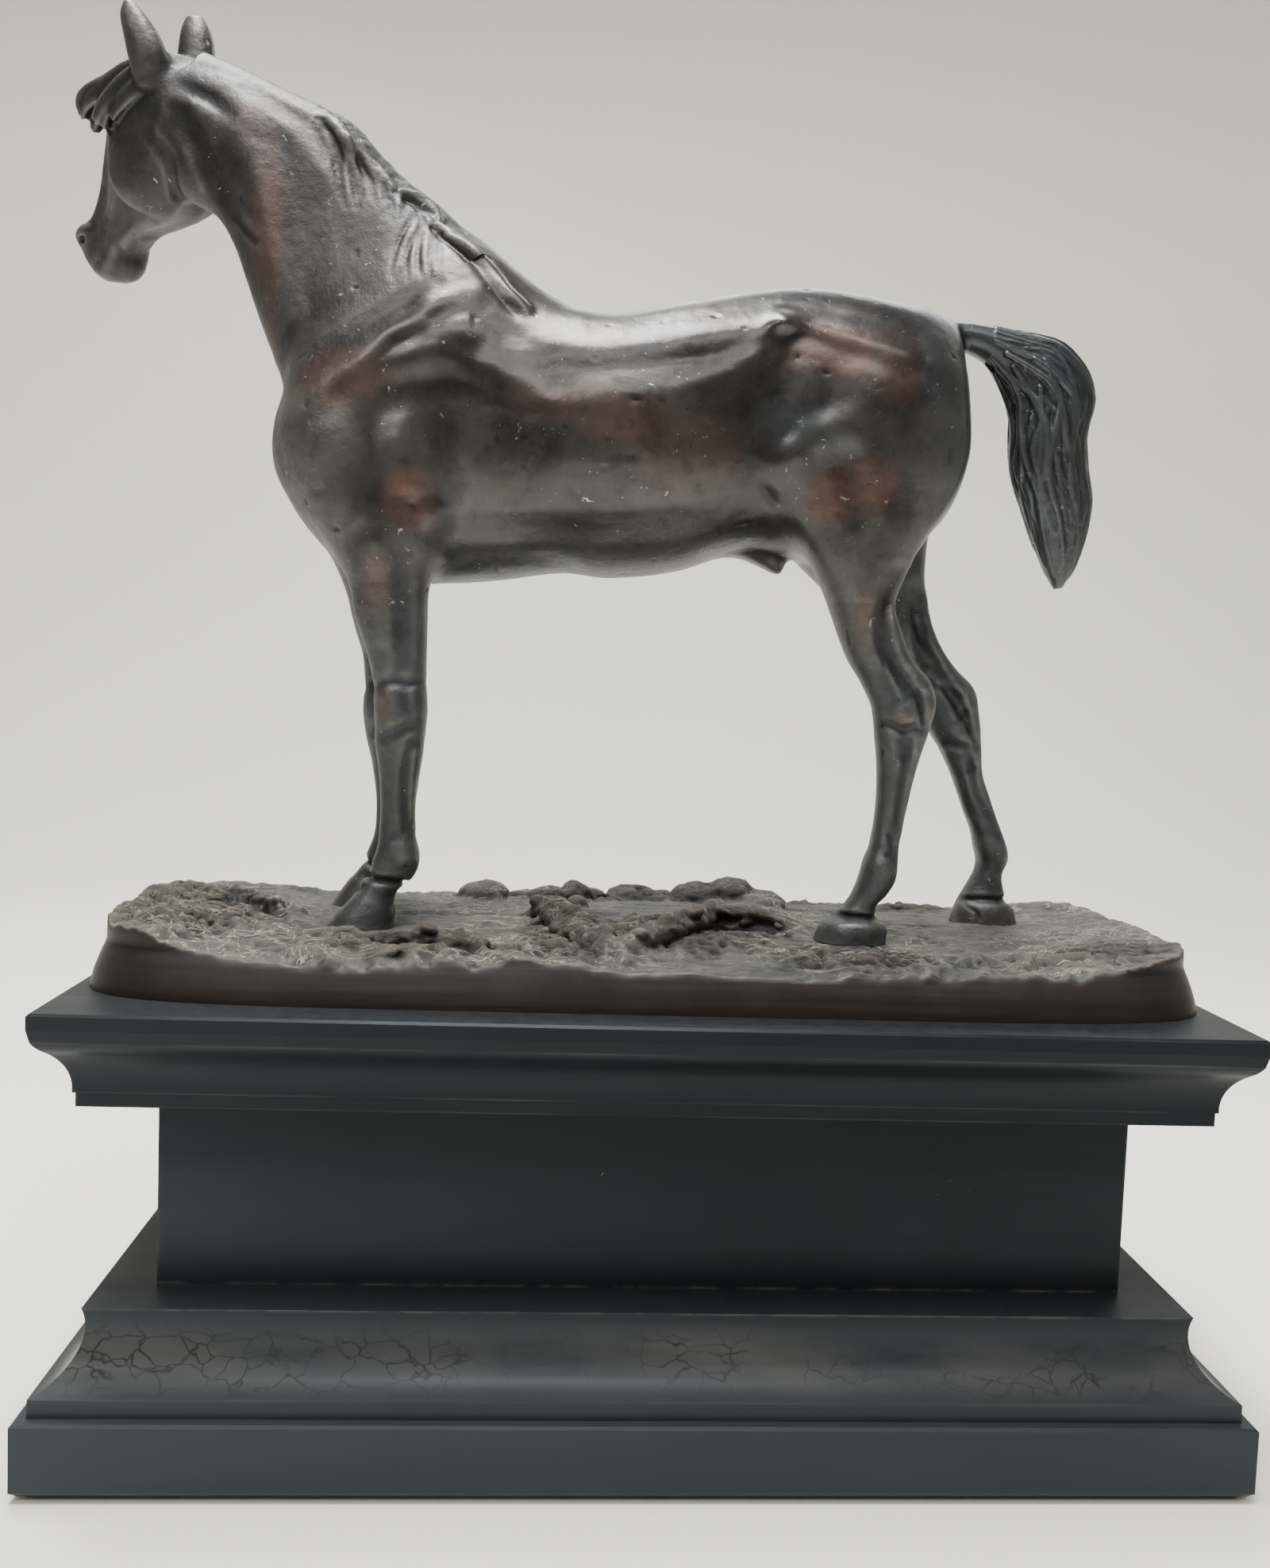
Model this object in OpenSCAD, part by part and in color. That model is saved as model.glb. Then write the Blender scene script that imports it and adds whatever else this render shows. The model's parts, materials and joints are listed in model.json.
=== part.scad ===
// Standing horse in cast bronze on a stepped, black-lacquered wooden plinth.
// Millimetres. X runs along the horse, which faces -X. Y runs away from the front. Z is up.
// The origin is the middle of the plinth's underside.

/* [Plinth] */
// Length of the bottom slab
slab_l = 305; // [300:1:310]
// Depth of the bottom slab
slab_d = 150; // [148:1:156]
// Height of the top of the bottom slab
slab_top = 19.3; // [18.5:0.1:20]
// Thickness of the baize under the slab
felt_t = 1; // [0.5:0.1:1.5]
// Length of the box between the two mouldings
die_l = 252; // [250:1:254]
// Thickness of the box's boards
board_t = 12; // [10:0.5:14]
// Height of the foot moulding's top
foot_top = 42.1; // [41.5:0.1:43]
// Height of the cap moulding's underside
cap_bottom = 92.9; // [92:0.1:94]
// Height of the cap board's underside
cap_board_z = 110.5; // [110:0.1:111]
// Height of the cap board's top, where the bronze stands
cap_top = 117.4; // [117:0.1:118]
// Length of the cap board
cap_l = 300; // [299:1:302]

/* [Bronze ground] */
// Half length of the ground casting
ground_a = 148; // [146:0.5:148]
// Half depth of the ground casting
ground_b = 60.3; // [58:0.5:61]
// Height at which the hooves stand
ground_z = 129.6; // [129.2:0.1:130]
// Metal thickness of the ground casting's wall
ground_wall = 4.5; // [3.5:0.5:6]
// How far the ground casting's wall leans in
ground_draft = 3.2; // [1:0.2:4]
// Height of the hollow's ceiling
ground_ceiling = 124.4; // [123.5:0.1:125]

/* [Bronze horse] */
// Metal thickness of the hollow body and neck
cast_wall = 4; // [3:0.5:5]
// Height of the seam between the legs and the body
leg_seam_z = 224; // [222:1:225]
// How far the head is turned away from the front
head_turn = 53; // [48:1:57]
// How far the face slopes below the horizontal
head_slope = 40; // [38:1:43]
// How far the head leans over to its near side
head_lean = 16; // [10:1:20]

/* [Fixings] */
// Diameter of the studs that hold the legs
stud_d = 3; // [2.5:0.1:3.2]
// Diameter of the pins across the seams
pin_d = 5; // [4:0.5:5.5]
// Diameter of the bolts that hold the bronze to the plinth
bolt_d = 5; // [4:0.5:6]
// Diameter of the wood screws
screw_d = 4; // [3.5:0.1:4.5]
// Clearance round studs, pins, bolts and screws
fit_gap = 0.1; // [0.05:0.05:0.2]

/* [Hidden] */

lacquer = "#16191d";
bronze = "#4a3a33";
dark_bronze = "#3b4042";
ground_bronze = "#40332c";
raw_wood = "#b08a5c";
steel = "#9a9da0";
baize = "#1f3b2c";

side_gap = slab_l - slab_d;       // every layer of the plinth has this much more length than depth
die_d = die_l - side_gap;
edge = 0.6;                       // small chamfer along the top edges of the slab and the cap board
slab_foot_edge = 1.6;             // chamfer along the bottom edge of the slab
felt_inset = 6;                   // how much shorter the baize is than the slab
fillet_half = 149.4;              // half length at the fillet under the foot moulding's cove
foot_neck = 140.1;                // half length at the top of the foot moulding
foot_neck_h = 1;
foot_cove = [153.5, 37.5, 14.2];  // half length and height of the cove's centre, and its radius
cap_side_z = 113.5;               // height where the cap board's sides start to roll under
cap_roll_r = 7.2;                 // radius of the roll under the cap board's sides
cap_roll = cap_l / 2 - cap_roll_r;
cap_cove_z = 97.5;
cap_cove_neck = 142;              // half length at the bottom of the cap moulding's cove
cap_drop = cap_side_z - cap_cove_z;
cap_run = cap_cove_neck - cap_roll;
// The cove's radius that makes it meet the roll without a corner
cap_cove_r = (pow(cap_run, 2) + pow(cap_drop, 2) - pow(cap_roll_r, 2)) / 2 / (cap_roll_r - cap_run);
cap_meet = cap_side_z - cap_drop * cap_roll_r / (cap_roll_r + cap_cove_r);
cap_fillet = 141.4;               // half length at the fillet along the bottom of the cap moulding
cap_fillet_h = 3.6;
arc_fn = 96;
block = 14;
block_h = 62;
block_bore_h = 26;
cleat_h = 10;
cleat_l = 200;
cleat_relief_d = 15;              // room for the bolt heads between the cleats
bolt_x = 92;
bolt_y = 24;
boss_d = 13;
boss_roof = 0.5;                  // how far a boss runs into the casting's ceiling
bolt_grip = 4.5;                  // how far a bolt runs into its boss
bolt_head = [9.2, 3.5];           // width and height of a head or nut
bolt_washer = [12, 1.2];
stud_nut = [6.4, 2.4];
stud_washer = [7, 0.8];
slab_screw_l = 42;
cap_screw_bite = 4.5;             // how far a cap screw runs into the cap board
cap_screw_x = 60;
pin_reach = 6;                    // how far a pin runs into each piece
end_gap = 0.3;                    // clearance past the end of a pin or stud
over = 1;                         // how far a cutting form runs past the face it cuts
round_fn = 48;

// A row of a body table is one ring of the form: [front/top x, z, back/bottom x, z, centre y, half width]
torso_rows = [
    [83.5, 301, 86, 284, 0, 4], [79.5, 306.5, 85, 270, 0, 14], [73, 309, 81.5, 252, 0, 22],
    [62, 310.5, 72, 243, 0, 27], [48, 312.5, 54, 237, 0, 28.5], [34, 312.8, 37, 237.5, 0, 28],
    [20, 310.5, 22, 238.5, 0, 28.5], [4, 307, 4, 232.5, 0, 30.5], [-12, 303.5, -14, 230, 0, 31.5],
    [-24, 303.5, -30, 230.5, 0, 31], [-33, 306, -46, 228, 0, 29], [-41, 310.5, -60, 226.5, 0, 27.5],
    [-50, 317, -76, 226, 0, 27], [-62, 319, -89, 229, 0, 27], [-80, 310, -99, 238, 0, 25.5],
    [-95, 297, -106, 249, 0, 21], [-103, 284, -108.8, 257, 0, 14], [-106.5, 275, -109.2, 265, 0, 6]
];
neck_rows = [
    [-30, 303, -98, 254, 0, 22], [-46, 314.5, -105, 275, 0, 21], [-56, 322.5, -110.5, 286, 0, 17.5],
    [-66, 331, -115.5, 297, 0.5, 14.5], [-77, 339, -119.5, 307, 1, 12.5], [-91, 352.5, -123.5, 317, 2, 11.5],
    [-107, 360, -129, 326, 4, 11], [-121, 366.5, -137, 331, 6, 10.5], [-133, 371.5, -146, 338, 8, 9.5]
];
// Head rows run down the face: [distance from the poll, forehead side, jaw side, half width]
head_rows = [
    [-3, 2, -7, 5], [1, 7, -14.5, 9.5], [8, 10, -22, 12], [16, 12, -26, 13], [24, 12.5, -27, 12.6],
    [31, 12, -25.5, 11], [37.5, 11, -20.5, 9.4], [44, 9.8, -14.5, 8], [50.5, 9, -11, 7.6],
    [57, 8.8, -9.8, 7.8],
    [62.5, 8.2, -9.4, 8], [67, 6, -7.6, 6.6], [70, 2, -4, 3.2]
];
poll = [-141, 6, 366.5];
near_ear_rows = [
    [-150, 358, -141, 357, 1, 3], [-151, 364, -141, 365, 0, 3.8], [-152.5, 371, -142.5, 371, -0.5, 3.4],
    [-153.5, 376.5, -147.5, 376.5, -0.5, 2], [-152.5, 379.6, -151, 380, -0.5, 0.8]
];
far_ear_rows = [
    [-143, 367, -132, 365, 12, 3], [-143, 375, -132.5, 374, 14, 3.6], [-142.5, 381.5, -133.5, 381, 15, 3],
    [-141, 385.5, -137, 386, 15.5, 1.4]
];
forelock_rows = [
    [-146, 366, -142, 360, 6, 6], [-153, 367, -149, 357, 8, 7.5], [-160, 365, -155, 352, 11, 7.5],
    [-166, 361.5, -160, 351, 14, 5.5], [-169, 356, -165, 351, 16, 2.5]
];
tail_rows = [
    [74, 308, 76, 298, 0, 3], [84, 307, 84, 299, 0, 4.2], [93, 306, 91.5, 296, 0, 5],
    [104, 304.3, 95.5, 291, 0, 6], [113.5, 302.2, 98.5, 286, 0, 7], [120.5, 295, 100.3, 281, 0, 7.6],
    [123.5, 287, 100.6, 276, 0, 8], [121.5, 277, 101, 270, 0, 8], [122.5, 267, 102.4, 262.5, 0, 7.6],
    [124.5, 258, 105.3, 255, 0, 7], [123.7, 249, 108.3, 247, 0, 6], [121.3, 239.5, 111.5, 239, 0, 4.4],
    [118, 232.5, 115.5, 232, 0, 1.4]
];
foreleg_left_rows = [
    [-98, 290, -62, 286, -10, 9], [-104, 268, -58, 262, -13, 13], [-101, 248, -59, 245, -14.5, 13],
    [-92, 234, -61.5, 234, -15, 11.5], [-86.5, 224, -65, 224, -15, 10], [-84.5, 214.5, -65.3, 214.5, -15, 9],
    [-81.2, 206, -65.1, 206, -15.5, 8], [-79.2, 197.5, -64.8, 197.5, -15.5, 7.2],
    [-78.6, 188.5, -64.4, 188.5, -15.5, 7.2], [-78.2, 180, -65, 180, -15.5, 6.4],
    [-77.2, 174, -66, 174, -15.5, 5.2], [-76.4, 165, -67.2, 165, -16, 4.6], [-76.5, 157, -66.8, 157, -16, 5],
    [-77.3, 151, -65.3, 149, -16, 6.2], [-80, 145, -67, 144, -16, 5.8], [-81.5, 141.5, -71.3, 140, -16, 5.4],
    [-84, 137.5, -72, 135.5, -16, 6.8], [-87.3, 134, -72, 132.5, -16, 7.8],
    [-90.5, 129.6, -71.6, 129.6, -16, 8.6]
];
foreleg_right_rows = [
    [-101, 290, -66, 286, 10, 9], [-107, 268, -62, 262, 13, 13], [-104, 248, -63, 245, 14.5, 13],
    [-96.5, 234, -66.5, 234, 15.5, 11.5], [-92, 224, -71, 224, 16.5, 10], [-89.5, 214.5, -72, 214.5, 17, 9],
    [-87, 206, -72, 206, 18, 8], [-86.2, 197.5, -72, 197.5, 18.5, 7.2],
    [-86.6, 188.5, -72.2, 188.5, 19, 7.2], [-85.3, 180, -72.5, 180, 19.3, 6.4],
    [-83.8, 174, -73.2, 174, 19.5, 5.2], [-82.4, 165, -73.5, 165, 19.7, 4.6],
    [-82.1, 157, -73, 157, 19.8, 5], [-82.8, 151, -71.3, 149, 20, 6.2], [-85.5, 144.5, -73.5, 143.5, 20, 5.8],
    [-88, 140.5, -77.5, 139.5, 20, 5.4], [-90, 137.5, -78, 135.5, 20, 6.8],
    [-92.5, 134, -78, 132.5, 20, 7.8], [-95.5, 129.6, -77.5, 129.6, 20, 8.6]
];
hindleg_left_rows = [
    [36, 292, 80, 288, -12, 12], [27, 268, 83, 268, -14, 14], [29, 251, 77, 251, -14.5, 13],
    [35, 242, 71.5, 241.5, -15, 11.5], [41.5, 233, 66.5, 233, -15.5, 10], [46, 224, 63.3, 224, -16, 8.8],
    [48.8, 216.5, 66, 217, -16.5, 7.6], [51.8, 209, 69.7, 209, -17, 6.8], [56, 202, 75, 203.5, -17.5, 6.8],
    [59, 195.5, 76.8, 197.5, -18, 6.8], [60.2, 187.5, 75.2, 189.5, -18.2, 6.2],
    [61.2, 178.5, 72, 179, -18.5, 5.2],
    [61.2, 168, 69.5, 168, -19, 4.8], [60, 158, 68, 157.5, -19.5, 5.2], [58, 151, 67.5, 148.5, -20, 6.2],
    [55.5, 143.5, 65, 143.6, -20, 5.7], [52.5, 139.2, 62, 140, -20, 5.6], [49.8, 137, 63.5, 136.8, -20, 7],
    [47, 134.5, 65, 134.5, -20, 8.2], [45, 129.6, 65.6, 129.6, -20, 8.8]
];
hindleg_right_rows = [
    [36, 292, 84, 288, 12, 12], [28, 268, 86, 270, 14, 14], [33, 249, 82, 256, 14.5, 13],
    [42, 238, 81, 244, 15, 11.5], [52, 229, 81, 233, 15.5, 10], [61, 220, 82.8, 222, 16, 8.8],
    [69, 212, 87, 214, 16, 7.6], [77, 203, 92.5, 208, 16.5, 6.8], [82, 195, 98.5, 202, 16.5, 6.8],
    [86, 188, 100.5, 193, 16.8, 6.6], [90, 182, 101.7, 184, 17, 6], [93.6, 174.5, 102.6, 175, 17, 5],
    [96.8, 166.5, 106, 166, 17, 4.8], [99.9, 159.4, 109.6, 158.5, 17, 5.2], [102, 153, 111.9, 151, 17, 6.2],
    [102.5, 147.5, 110.2, 145.6, 17, 5.7], [100, 142, 110.8, 141.5, 17, 5.8], [98, 138.3, 112, 138, 17, 7],
    [96.3, 134.5, 114, 134.5, 17, 8.2], [95, 129.6, 116, 129.6, 17, 8.8]
];
// Locks of the mane on the near side, each from the top down: [x, y, z, radius]
mane_locks = [
    [[-94, -3, 350, 4], [-92, -9, 343, 3], [-90, -12.5, 333, 2.4], [-89, -13, 325, 1.2]],
    [[-69, -2, 328.5, 5], [-69.5, -9.5, 325, 4], [-71.5, -14.5, 316, 3], [-71, -17.5, 306, 1.2]],
    [[-63, -3, 325.5, 4.2], [-57, -8, 322, 3.4], [-52.5, -10, 316.5, 2.2], [-50, -11, 312, 1]]
];
// Where each leg's stud stands: [x, y, top z]
studs = [[-79, -16, 139], [-84.5, 20, 139], [56, -20, 141], [105.5, 17, 143]];
// Tops of the hooves: [front x, z, back x, z] of the coronet line
coronets = [[-84, 138, -72, 135.3], [-90, 138, -78, 135.3], [48, 137, 66, 136], [97, 137.6, 114, 137]];
// Pins that join the legs to the body: [x, y]
leg_pin_at = [[-75.5, -15], [-81.5, 16.5], [55, -16], [70, 16]];
neck_seam = [-48, 316, -107, 279];      // x, z of the two ends of the seam
neck_seam_angle = atan2(neck_seam[1] - neck_seam[3], neck_seam[0] - neck_seam[2]);
neck_pin_y = 8;
head_seam = [-127, 7, 345];
head_seam_tilt = 82;
head_seam_turn = 25;
tail_seam = [86, 303];
sheath_rows = [
    [20, 245, 19, 239, 0, 4], [27, 245, 26.5, 236.5, 0, 5],
    [34, 242, 33.5, 234.3, 0, 4.5], [38, 240, 37.5, 236.5, 0, 2]
];
far = 400;                              // larger than the whole object
// Flat seats under the hooves: [x, y, half length, half width]
hoof_seats = [
    [-81, -16, 10.3, 9.4], [-86.5, 20, 9.8, 9.4], [55.3, -20, 11.2, 9.6], [105.5, 17, 11.4, 9.6]
];
seat_h = 12;
ground_round = 6.5;      // how square the ground casting's outline is
ground_steps = 48;
ground_rings = [1, 0.94, 0.85, 0.72, 0.58, 0.42, 0.24];
// A fallen branch on the ground, as points along it: [x, y, z, radius]
branch = [
    [-33, 8, 129.5, 3], [-29, -5, 132, 4], [-24, -20, 132.5, 5],
    [-18, -34, 131.5, 5.5], [-11, -46, 128.5, 4]
];
fork = [
    [-19, -38, 130.5, 4], [-6, -37, 132.5, 4.5], [4, -31, 133.5, 5],
    [12, -23, 134.5, 5], [20, -13, 134, 4.5], [30, -3, 130.5, 3]
];
// Stones along the far edge: [x, y, z, half sizes, turn]
stones = [
    [-50, 41, 130, [8, 6, 3.6], 10], [-24, 43, 130, [10, 6, 3.2], -15], [-3, 45, 130, [8, 6, 3.8], 0],
    [21, 44, 131, [11, 8, 5], 12], [35, 38, 130, [9, 7, 4], 30]
];

function row_at(rows, i) = rows[max(0, min(len(rows) - 1, i))];
function spline(a, b, c, d, t) =
    0.5 * (2 * b + (c - a) * t + (2 * a - 5 * b + 4 * c - d) * t * t + (3 * b - a - 3 * c + d) * t * t * t);
function smooth_rows(rows, steps) = [
    for (i = [0 : len(rows) - 2], j = [0 : steps - 1])
        spline(row_at(rows, i - 1), rows[i], rows[i + 1], row_at(rows, i + 2), j / steps),
    rows[len(rows) - 1]
];
function middle(r) = [(r[0] + r[2]) / 2, r[4], (r[1] + r[3]) / 2];
function reach(r) = [(r[0] - r[2]) / 2, 0, (r[1] - r[3]) / 2];
function bent(v) = sign(v) * pow(abs(v), 0.88);
function ring(r, sides, way) = [
    for (i = [0 : sides - 1])
        let (a = way * 360 * i / sides)
            middle(r) + reach(r) * bent(cos(a)) + [0, r[5] * bent(sin(a)), 0]
];
function turn_way(rows) =
    (middle(rows[len(rows) - 1]) - middle(rows[0])) * cross(reach(rows[1]), [0, 1, 0]) > 0 ? 1 : -1;
function thinned(r, wall) =
    let (h = reach(r), k = max(0.05, 1 - wall / max(norm(h), 0.1)), m = middle(r))
        [m[0] + h[0] * k, m[2] + h[2] * k, m[0] - h[0] * k, m[2] - h[2] * k, m[1], max(0.3, r[5] - wall)];
function head_row(r) = [
    -r[0] * cos(head_slope) - r[1] * sin(head_slope), -r[0] * sin(head_slope) + r[1] * cos(head_slope),
    -r[0] * cos(head_slope) - r[2] * sin(head_slope), -r[0] * sin(head_slope) + r[2] * cos(head_slope),
    0, r[3]
];

// A closed body through rings of points
module skin_of(rings) {
    n = len(rings[0]);
    last = len(rings) - 1;
    points = [for (r = rings, p = r) p];
    walls = [
        for (i = [0 : last - 1], j = [0 : n - 1], k = [0, 1])
            let (a = i * n + j, b = i * n + (j + 1) % n)
                k == 0 ? [a, a + n, b] : [b, a + n, b + n]
    ];
    ends = [[for (j = [0 : n - 1]) j], [for (j = [n - 1 : -1 : 0]) last * n + j]];
    polyhedron(points, concat(walls, ends), convexity = 8);
}

module loft(rows, sides, steps) {
    way = turn_way(rows);
    skin_of([for (r = smooth_rows(rows, steps)) ring(r, sides, way)]);
}

// A lock of hair that hangs down, in level rings
module hanging_lock(points, sides) {
    skin_of([
        for (p = points)
            [for (j = [0 : sides - 1])
                let (a = -360 * j / sides)
                    [p[0] + p[3] * cos(a), p[1] + p[3] * sin(a), p[2]]]
    ]);
}

// Groups faceted forms into one mesh, so that bores cut from it later stay true
module one_mesh() {
    resize([0, 0, 0]) union() children();
}

module at_poll() {
    translate(poll) rotate([0, 0, -head_turn])
        rotate(a = -head_lean, v = [-cos(head_slope), 0, -sin(head_slope)]) children();
}

module horse_form() {
    loft(torso_rows, 18, 1);
    loft(neck_rows, 14, 1);
    loft(foreleg_left_rows, 12, 1);
    loft(foreleg_right_rows, 12, 1);
    loft(hindleg_left_rows, 12, 1);
    loft(hindleg_right_rows, 12, 1);
    loft(sheath_rows, 8, 1);
    for (lock = mane_locks)
        hanging_lock(lock, 8);
    at_poll() loft([for (r = head_rows) head_row(r)], 16, 1);
    loft(near_ear_rows, 8, 1);
    loft(far_ear_rows, 8, 1);
    loft(forelock_rows, 8, 1);
}

// The hollow inside the body, a wall's thickness below the skin and the seams
module hollow_form() {
    difference() {
        loft([for (i = [2 : len(torso_rows) - 3]) thinned(torso_rows[i], cast_wall)], 14, 1);
        translate([0, 0, -1.2 * cast_wall - pin_reach]) above_neck_seam();
    }
}

// Everything on the head's side of the seam behind the jaw
module head_side() {
    translate(head_seam) rotate([0, 0, -head_seam_turn]) rotate([0, -head_seam_tilt, 0])
        translate([-far / 2, -far / 2, 0]) cube([far, far, far]);
}

// Everything above the seam at the foot of the neck
module above_neck_seam() {
    translate([neck_seam[0], 0, neck_seam[1]]) rotate([0, -neck_seam_angle, 0])
        translate([-far, -far / 2, 0]) cube([far * 2, far, far]);
}

module behind_tail_seam() {
    translate([tail_seam[0], -far / 2, 0]) cube([far, far, far]);
}

module below_leg_seam() {
    translate([-far, -far, leg_seam_z - far]) cube([2 * far, 2 * far, far]);
}

module neck_pin_place(side) {
    translate([(neck_seam[0] + neck_seam[2]) / 2, 0, (neck_seam[1] + neck_seam[3]) / 2])
        rotate([0, -neck_seam_angle, 0])
            translate([side * 24, 0, 0]) children();
}

module head_pin_place() {
    translate(head_seam) rotate([0, 0, -head_seam_turn]) rotate([0, -head_seam_tilt, 0]) children();
}

module tail_pin_place() {
    translate([tail_seam[0], 0, tail_seam[1]]) rotate([0, 90, 0]) children();
}

// A round hole along Z
module bore(diameter, depth) {
    cylinder(d = diameter + 2 * fit_gap, h = depth, $fn = round_fn);
}

// Half of a pin's hole: below the seam, or above it
module pin_bore(diameter, above) {
    translate([0, 0, above ? -over : -pin_reach - end_gap]) bore(diameter, pin_reach + end_gap + over);
}

module pin(diameter) {
    translate([0, 0, -pin_reach]) cylinder(d = diameter, h = 2 * pin_reach, $fn = round_fn);
}

module torso() {
    color(bronze) difference() {
        one_mesh() difference() {
            union() {
                horse_form();
                difference() {
                    loft(tail_rows, 12, 2);
                    behind_tail_seam();
                }
            }
            below_leg_seam();
            above_neck_seam();
        }
        one_mesh() hollow_form();
        for (p = leg_pin_at)
            translate([p[0], p[1], leg_seam_z]) pin_bore(pin_d, true);
        for (side = [-1, 1])
            neck_pin_place(side) pin_bore(stud_d, false);
        tail_pin_place() pin_bore(stud_d, false);
    }
}

module neck() {
    color(bronze) difference() {
        one_mesh() difference() {
            intersection() {
                horse_form();
                above_neck_seam();
            }
            head_side();
        }
        for (side = [-1, 1])
            neck_pin_place(side) pin_bore(stud_d, true);
        head_pin_place() pin_bore(pin_d, false);
    }
}

module head() {
    color(bronze) difference() {
        one_mesh() intersection() {
            horse_form();
            above_neck_seam();
            head_side();
        }
        head_pin_place() pin_bore(pin_d, true);
    }
}

module tail() {
    color(dark_bronze) difference() {
        one_mesh() intersection() {
            loft(tail_rows, 12, 2);
            behind_tail_seam();
        }
        tail_pin_place() pin_bore(stud_d, true);
    }
}

// Everything below the coronet line of one leg
module below_coronet(i) {
    c = coronets[i];
    translate([(c[0] + c[2]) / 2, 0, (c[1] + c[3]) / 2])
        rotate([0, atan2(c[1] - c[3], c[2] - c[0]), 0])
            translate([-60, -far / 2, -60]) cube([120, far, 60]);
}

module stud_bore(i) {
    translate([studs[i][0], studs[i][1], cap_top]) bore(stud_d, studs[i][2] + end_gap - cap_top);
}

module leg(rows, i) {
    color(dark_bronze) difference() {
        one_mesh() difference() {
            intersection() {
                loft(rows, 12, 1);
                below_leg_seam();
            }
            below_coronet(i);
        }
        stud_bore(i);
        translate([leg_pin_at[i][0], leg_pin_at[i][1], leg_seam_z]) pin_bore(pin_d, false);
    }
}

module hoof(rows, i) {
    color(dark_bronze) difference() {
        one_mesh() intersection() {
            loft(rows, 12, 1);
            below_coronet(i);
        }
        stud_bore(i);
    }
}

module foreleg_left() { leg(foreleg_left_rows, 0); }
module foreleg_right() { leg(foreleg_right_rows, 1); }
module hindleg_left() { leg(hindleg_left_rows, 2); }
module hindleg_right() { leg(hindleg_right_rows, 3); }
module hoof_fore_left() { hoof(foreleg_left_rows, 0); }
module hoof_fore_right() { hoof(foreleg_right_rows, 1); }
module hoof_hind_left() { hoof(hindleg_left_rows, 2); }
module hoof_hind_right() { hoof(hindleg_right_rows, 3); }

module leg_studs() {
    foot = ground_ceiling - stud_washer[1] - stud_nut[1] - over;
    color(steel) for (s = studs)
        translate([s[0], s[1], foot]) cylinder(d = stud_d, h = s[2] - foot, $fn = round_fn);
}

module stud_washers() {
    color(steel) for (s = studs)
        translate([s[0], s[1], ground_ceiling - stud_washer[1]]) difference() {
            cylinder(d = stud_washer[0], h = stud_washer[1], $fn = round_fn);
            translate([0, 0, -over]) bore(stud_d, stud_washer[1] + 2 * over);
        }
}

module stud_nuts() {
    color(steel) for (s = studs)
        translate([s[0], s[1], ground_ceiling - stud_washer[1] - stud_nut[1]]) difference() {
            cylinder(d = stud_nut[0], h = stud_nut[1], $fn = 6);
            translate([0, 0, -over]) bore(stud_d, stud_nut[1] + 2 * over);
        }
}

module leg_pins() {
    color(steel) for (p = leg_pin_at)
        translate([p[0], p[1], leg_seam_z]) pin(pin_d);
}

module neck_pins() {
    color(steel) for (side = [-1, 1])
        neck_pin_place(side) pin(stud_d);
}

module head_pin() {
    color(steel) head_pin_place() pin(pin_d);
}

module tail_pin() {
    color(steel) tail_pin_place() pin(stud_d);
}

// The outline of the ground casting, as a point at an angle, drawn in by a distance
function outline_at(angle, drawn_in) =
    let (c = cos(angle), s = sin(angle), a = ground_a - drawn_in, b = ground_b - drawn_in,
         k = pow(pow(abs(c), ground_round) + pow(abs(s), ground_round), -1 / ground_round))
        [a * c * k, b * s * k];
function rim_height(x) = 126.3 + 6.5 * pow(abs(x) / ground_a, 7) + 1.4 * sin(9 * x);
// The ground falls towards the long edges, climbs at the ends and rolls gently
function ground_height(x, y, t) =
    let (waves = 0.6 * sin(11 * x + 5 * y) + 0.5 * sin(17 * y - 7 * x),
         ends = (3 - 2 * y / ground_b) * pow(abs(x) / ground_a, 6),
         inner = ground_z + 1.4 - 4 * pow(y / ground_b, 2) + waves + ends)
        inner + (rim_height(x) - inner) * pow(t, 9);

module ground_skin() {
    angles = [for (i = [0 : ground_steps - 1]) 360 * i / ground_steps];
    foot = [for (a = angles) let (p = outline_at(a, 0)) [p[0], p[1], cap_top]];
    tops = [for (t = ground_rings) [for (a = angles)
        let (p = outline_at(a, ground_draft) * t) [p[0], p[1], ground_height(p[0], p[1], t)]]];
    skin_of(concat([foot], tops));
}

module stone(s) {
    translate([s[0], s[1], s[2]]) rotate([0, 0, s[4]]) scale(s[3])
        rotate([20, 30, 0]) sphere(r = 1, $fn = 10);
}

// A round limb along level-ish points
module limb(points, sides) {
    last = len(points) - 1;
    skin_of([
        for (i = [0 : last])
            let (p = points[i], run = points[min(last, i + 1)] - points[max(0, i - 1)],
                 d = [run[0], run[1]] / norm([run[0], run[1]]))
                [for (j = [0 : sides - 1])
                    let (a = 360 * j / sides)
                        [p[0] - d[1] * p[3] * cos(a), p[1] + d[0] * p[3] * cos(a),
                         p[2] + 0.8 * p[3] * sin(a)]]
    ]);
}

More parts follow.
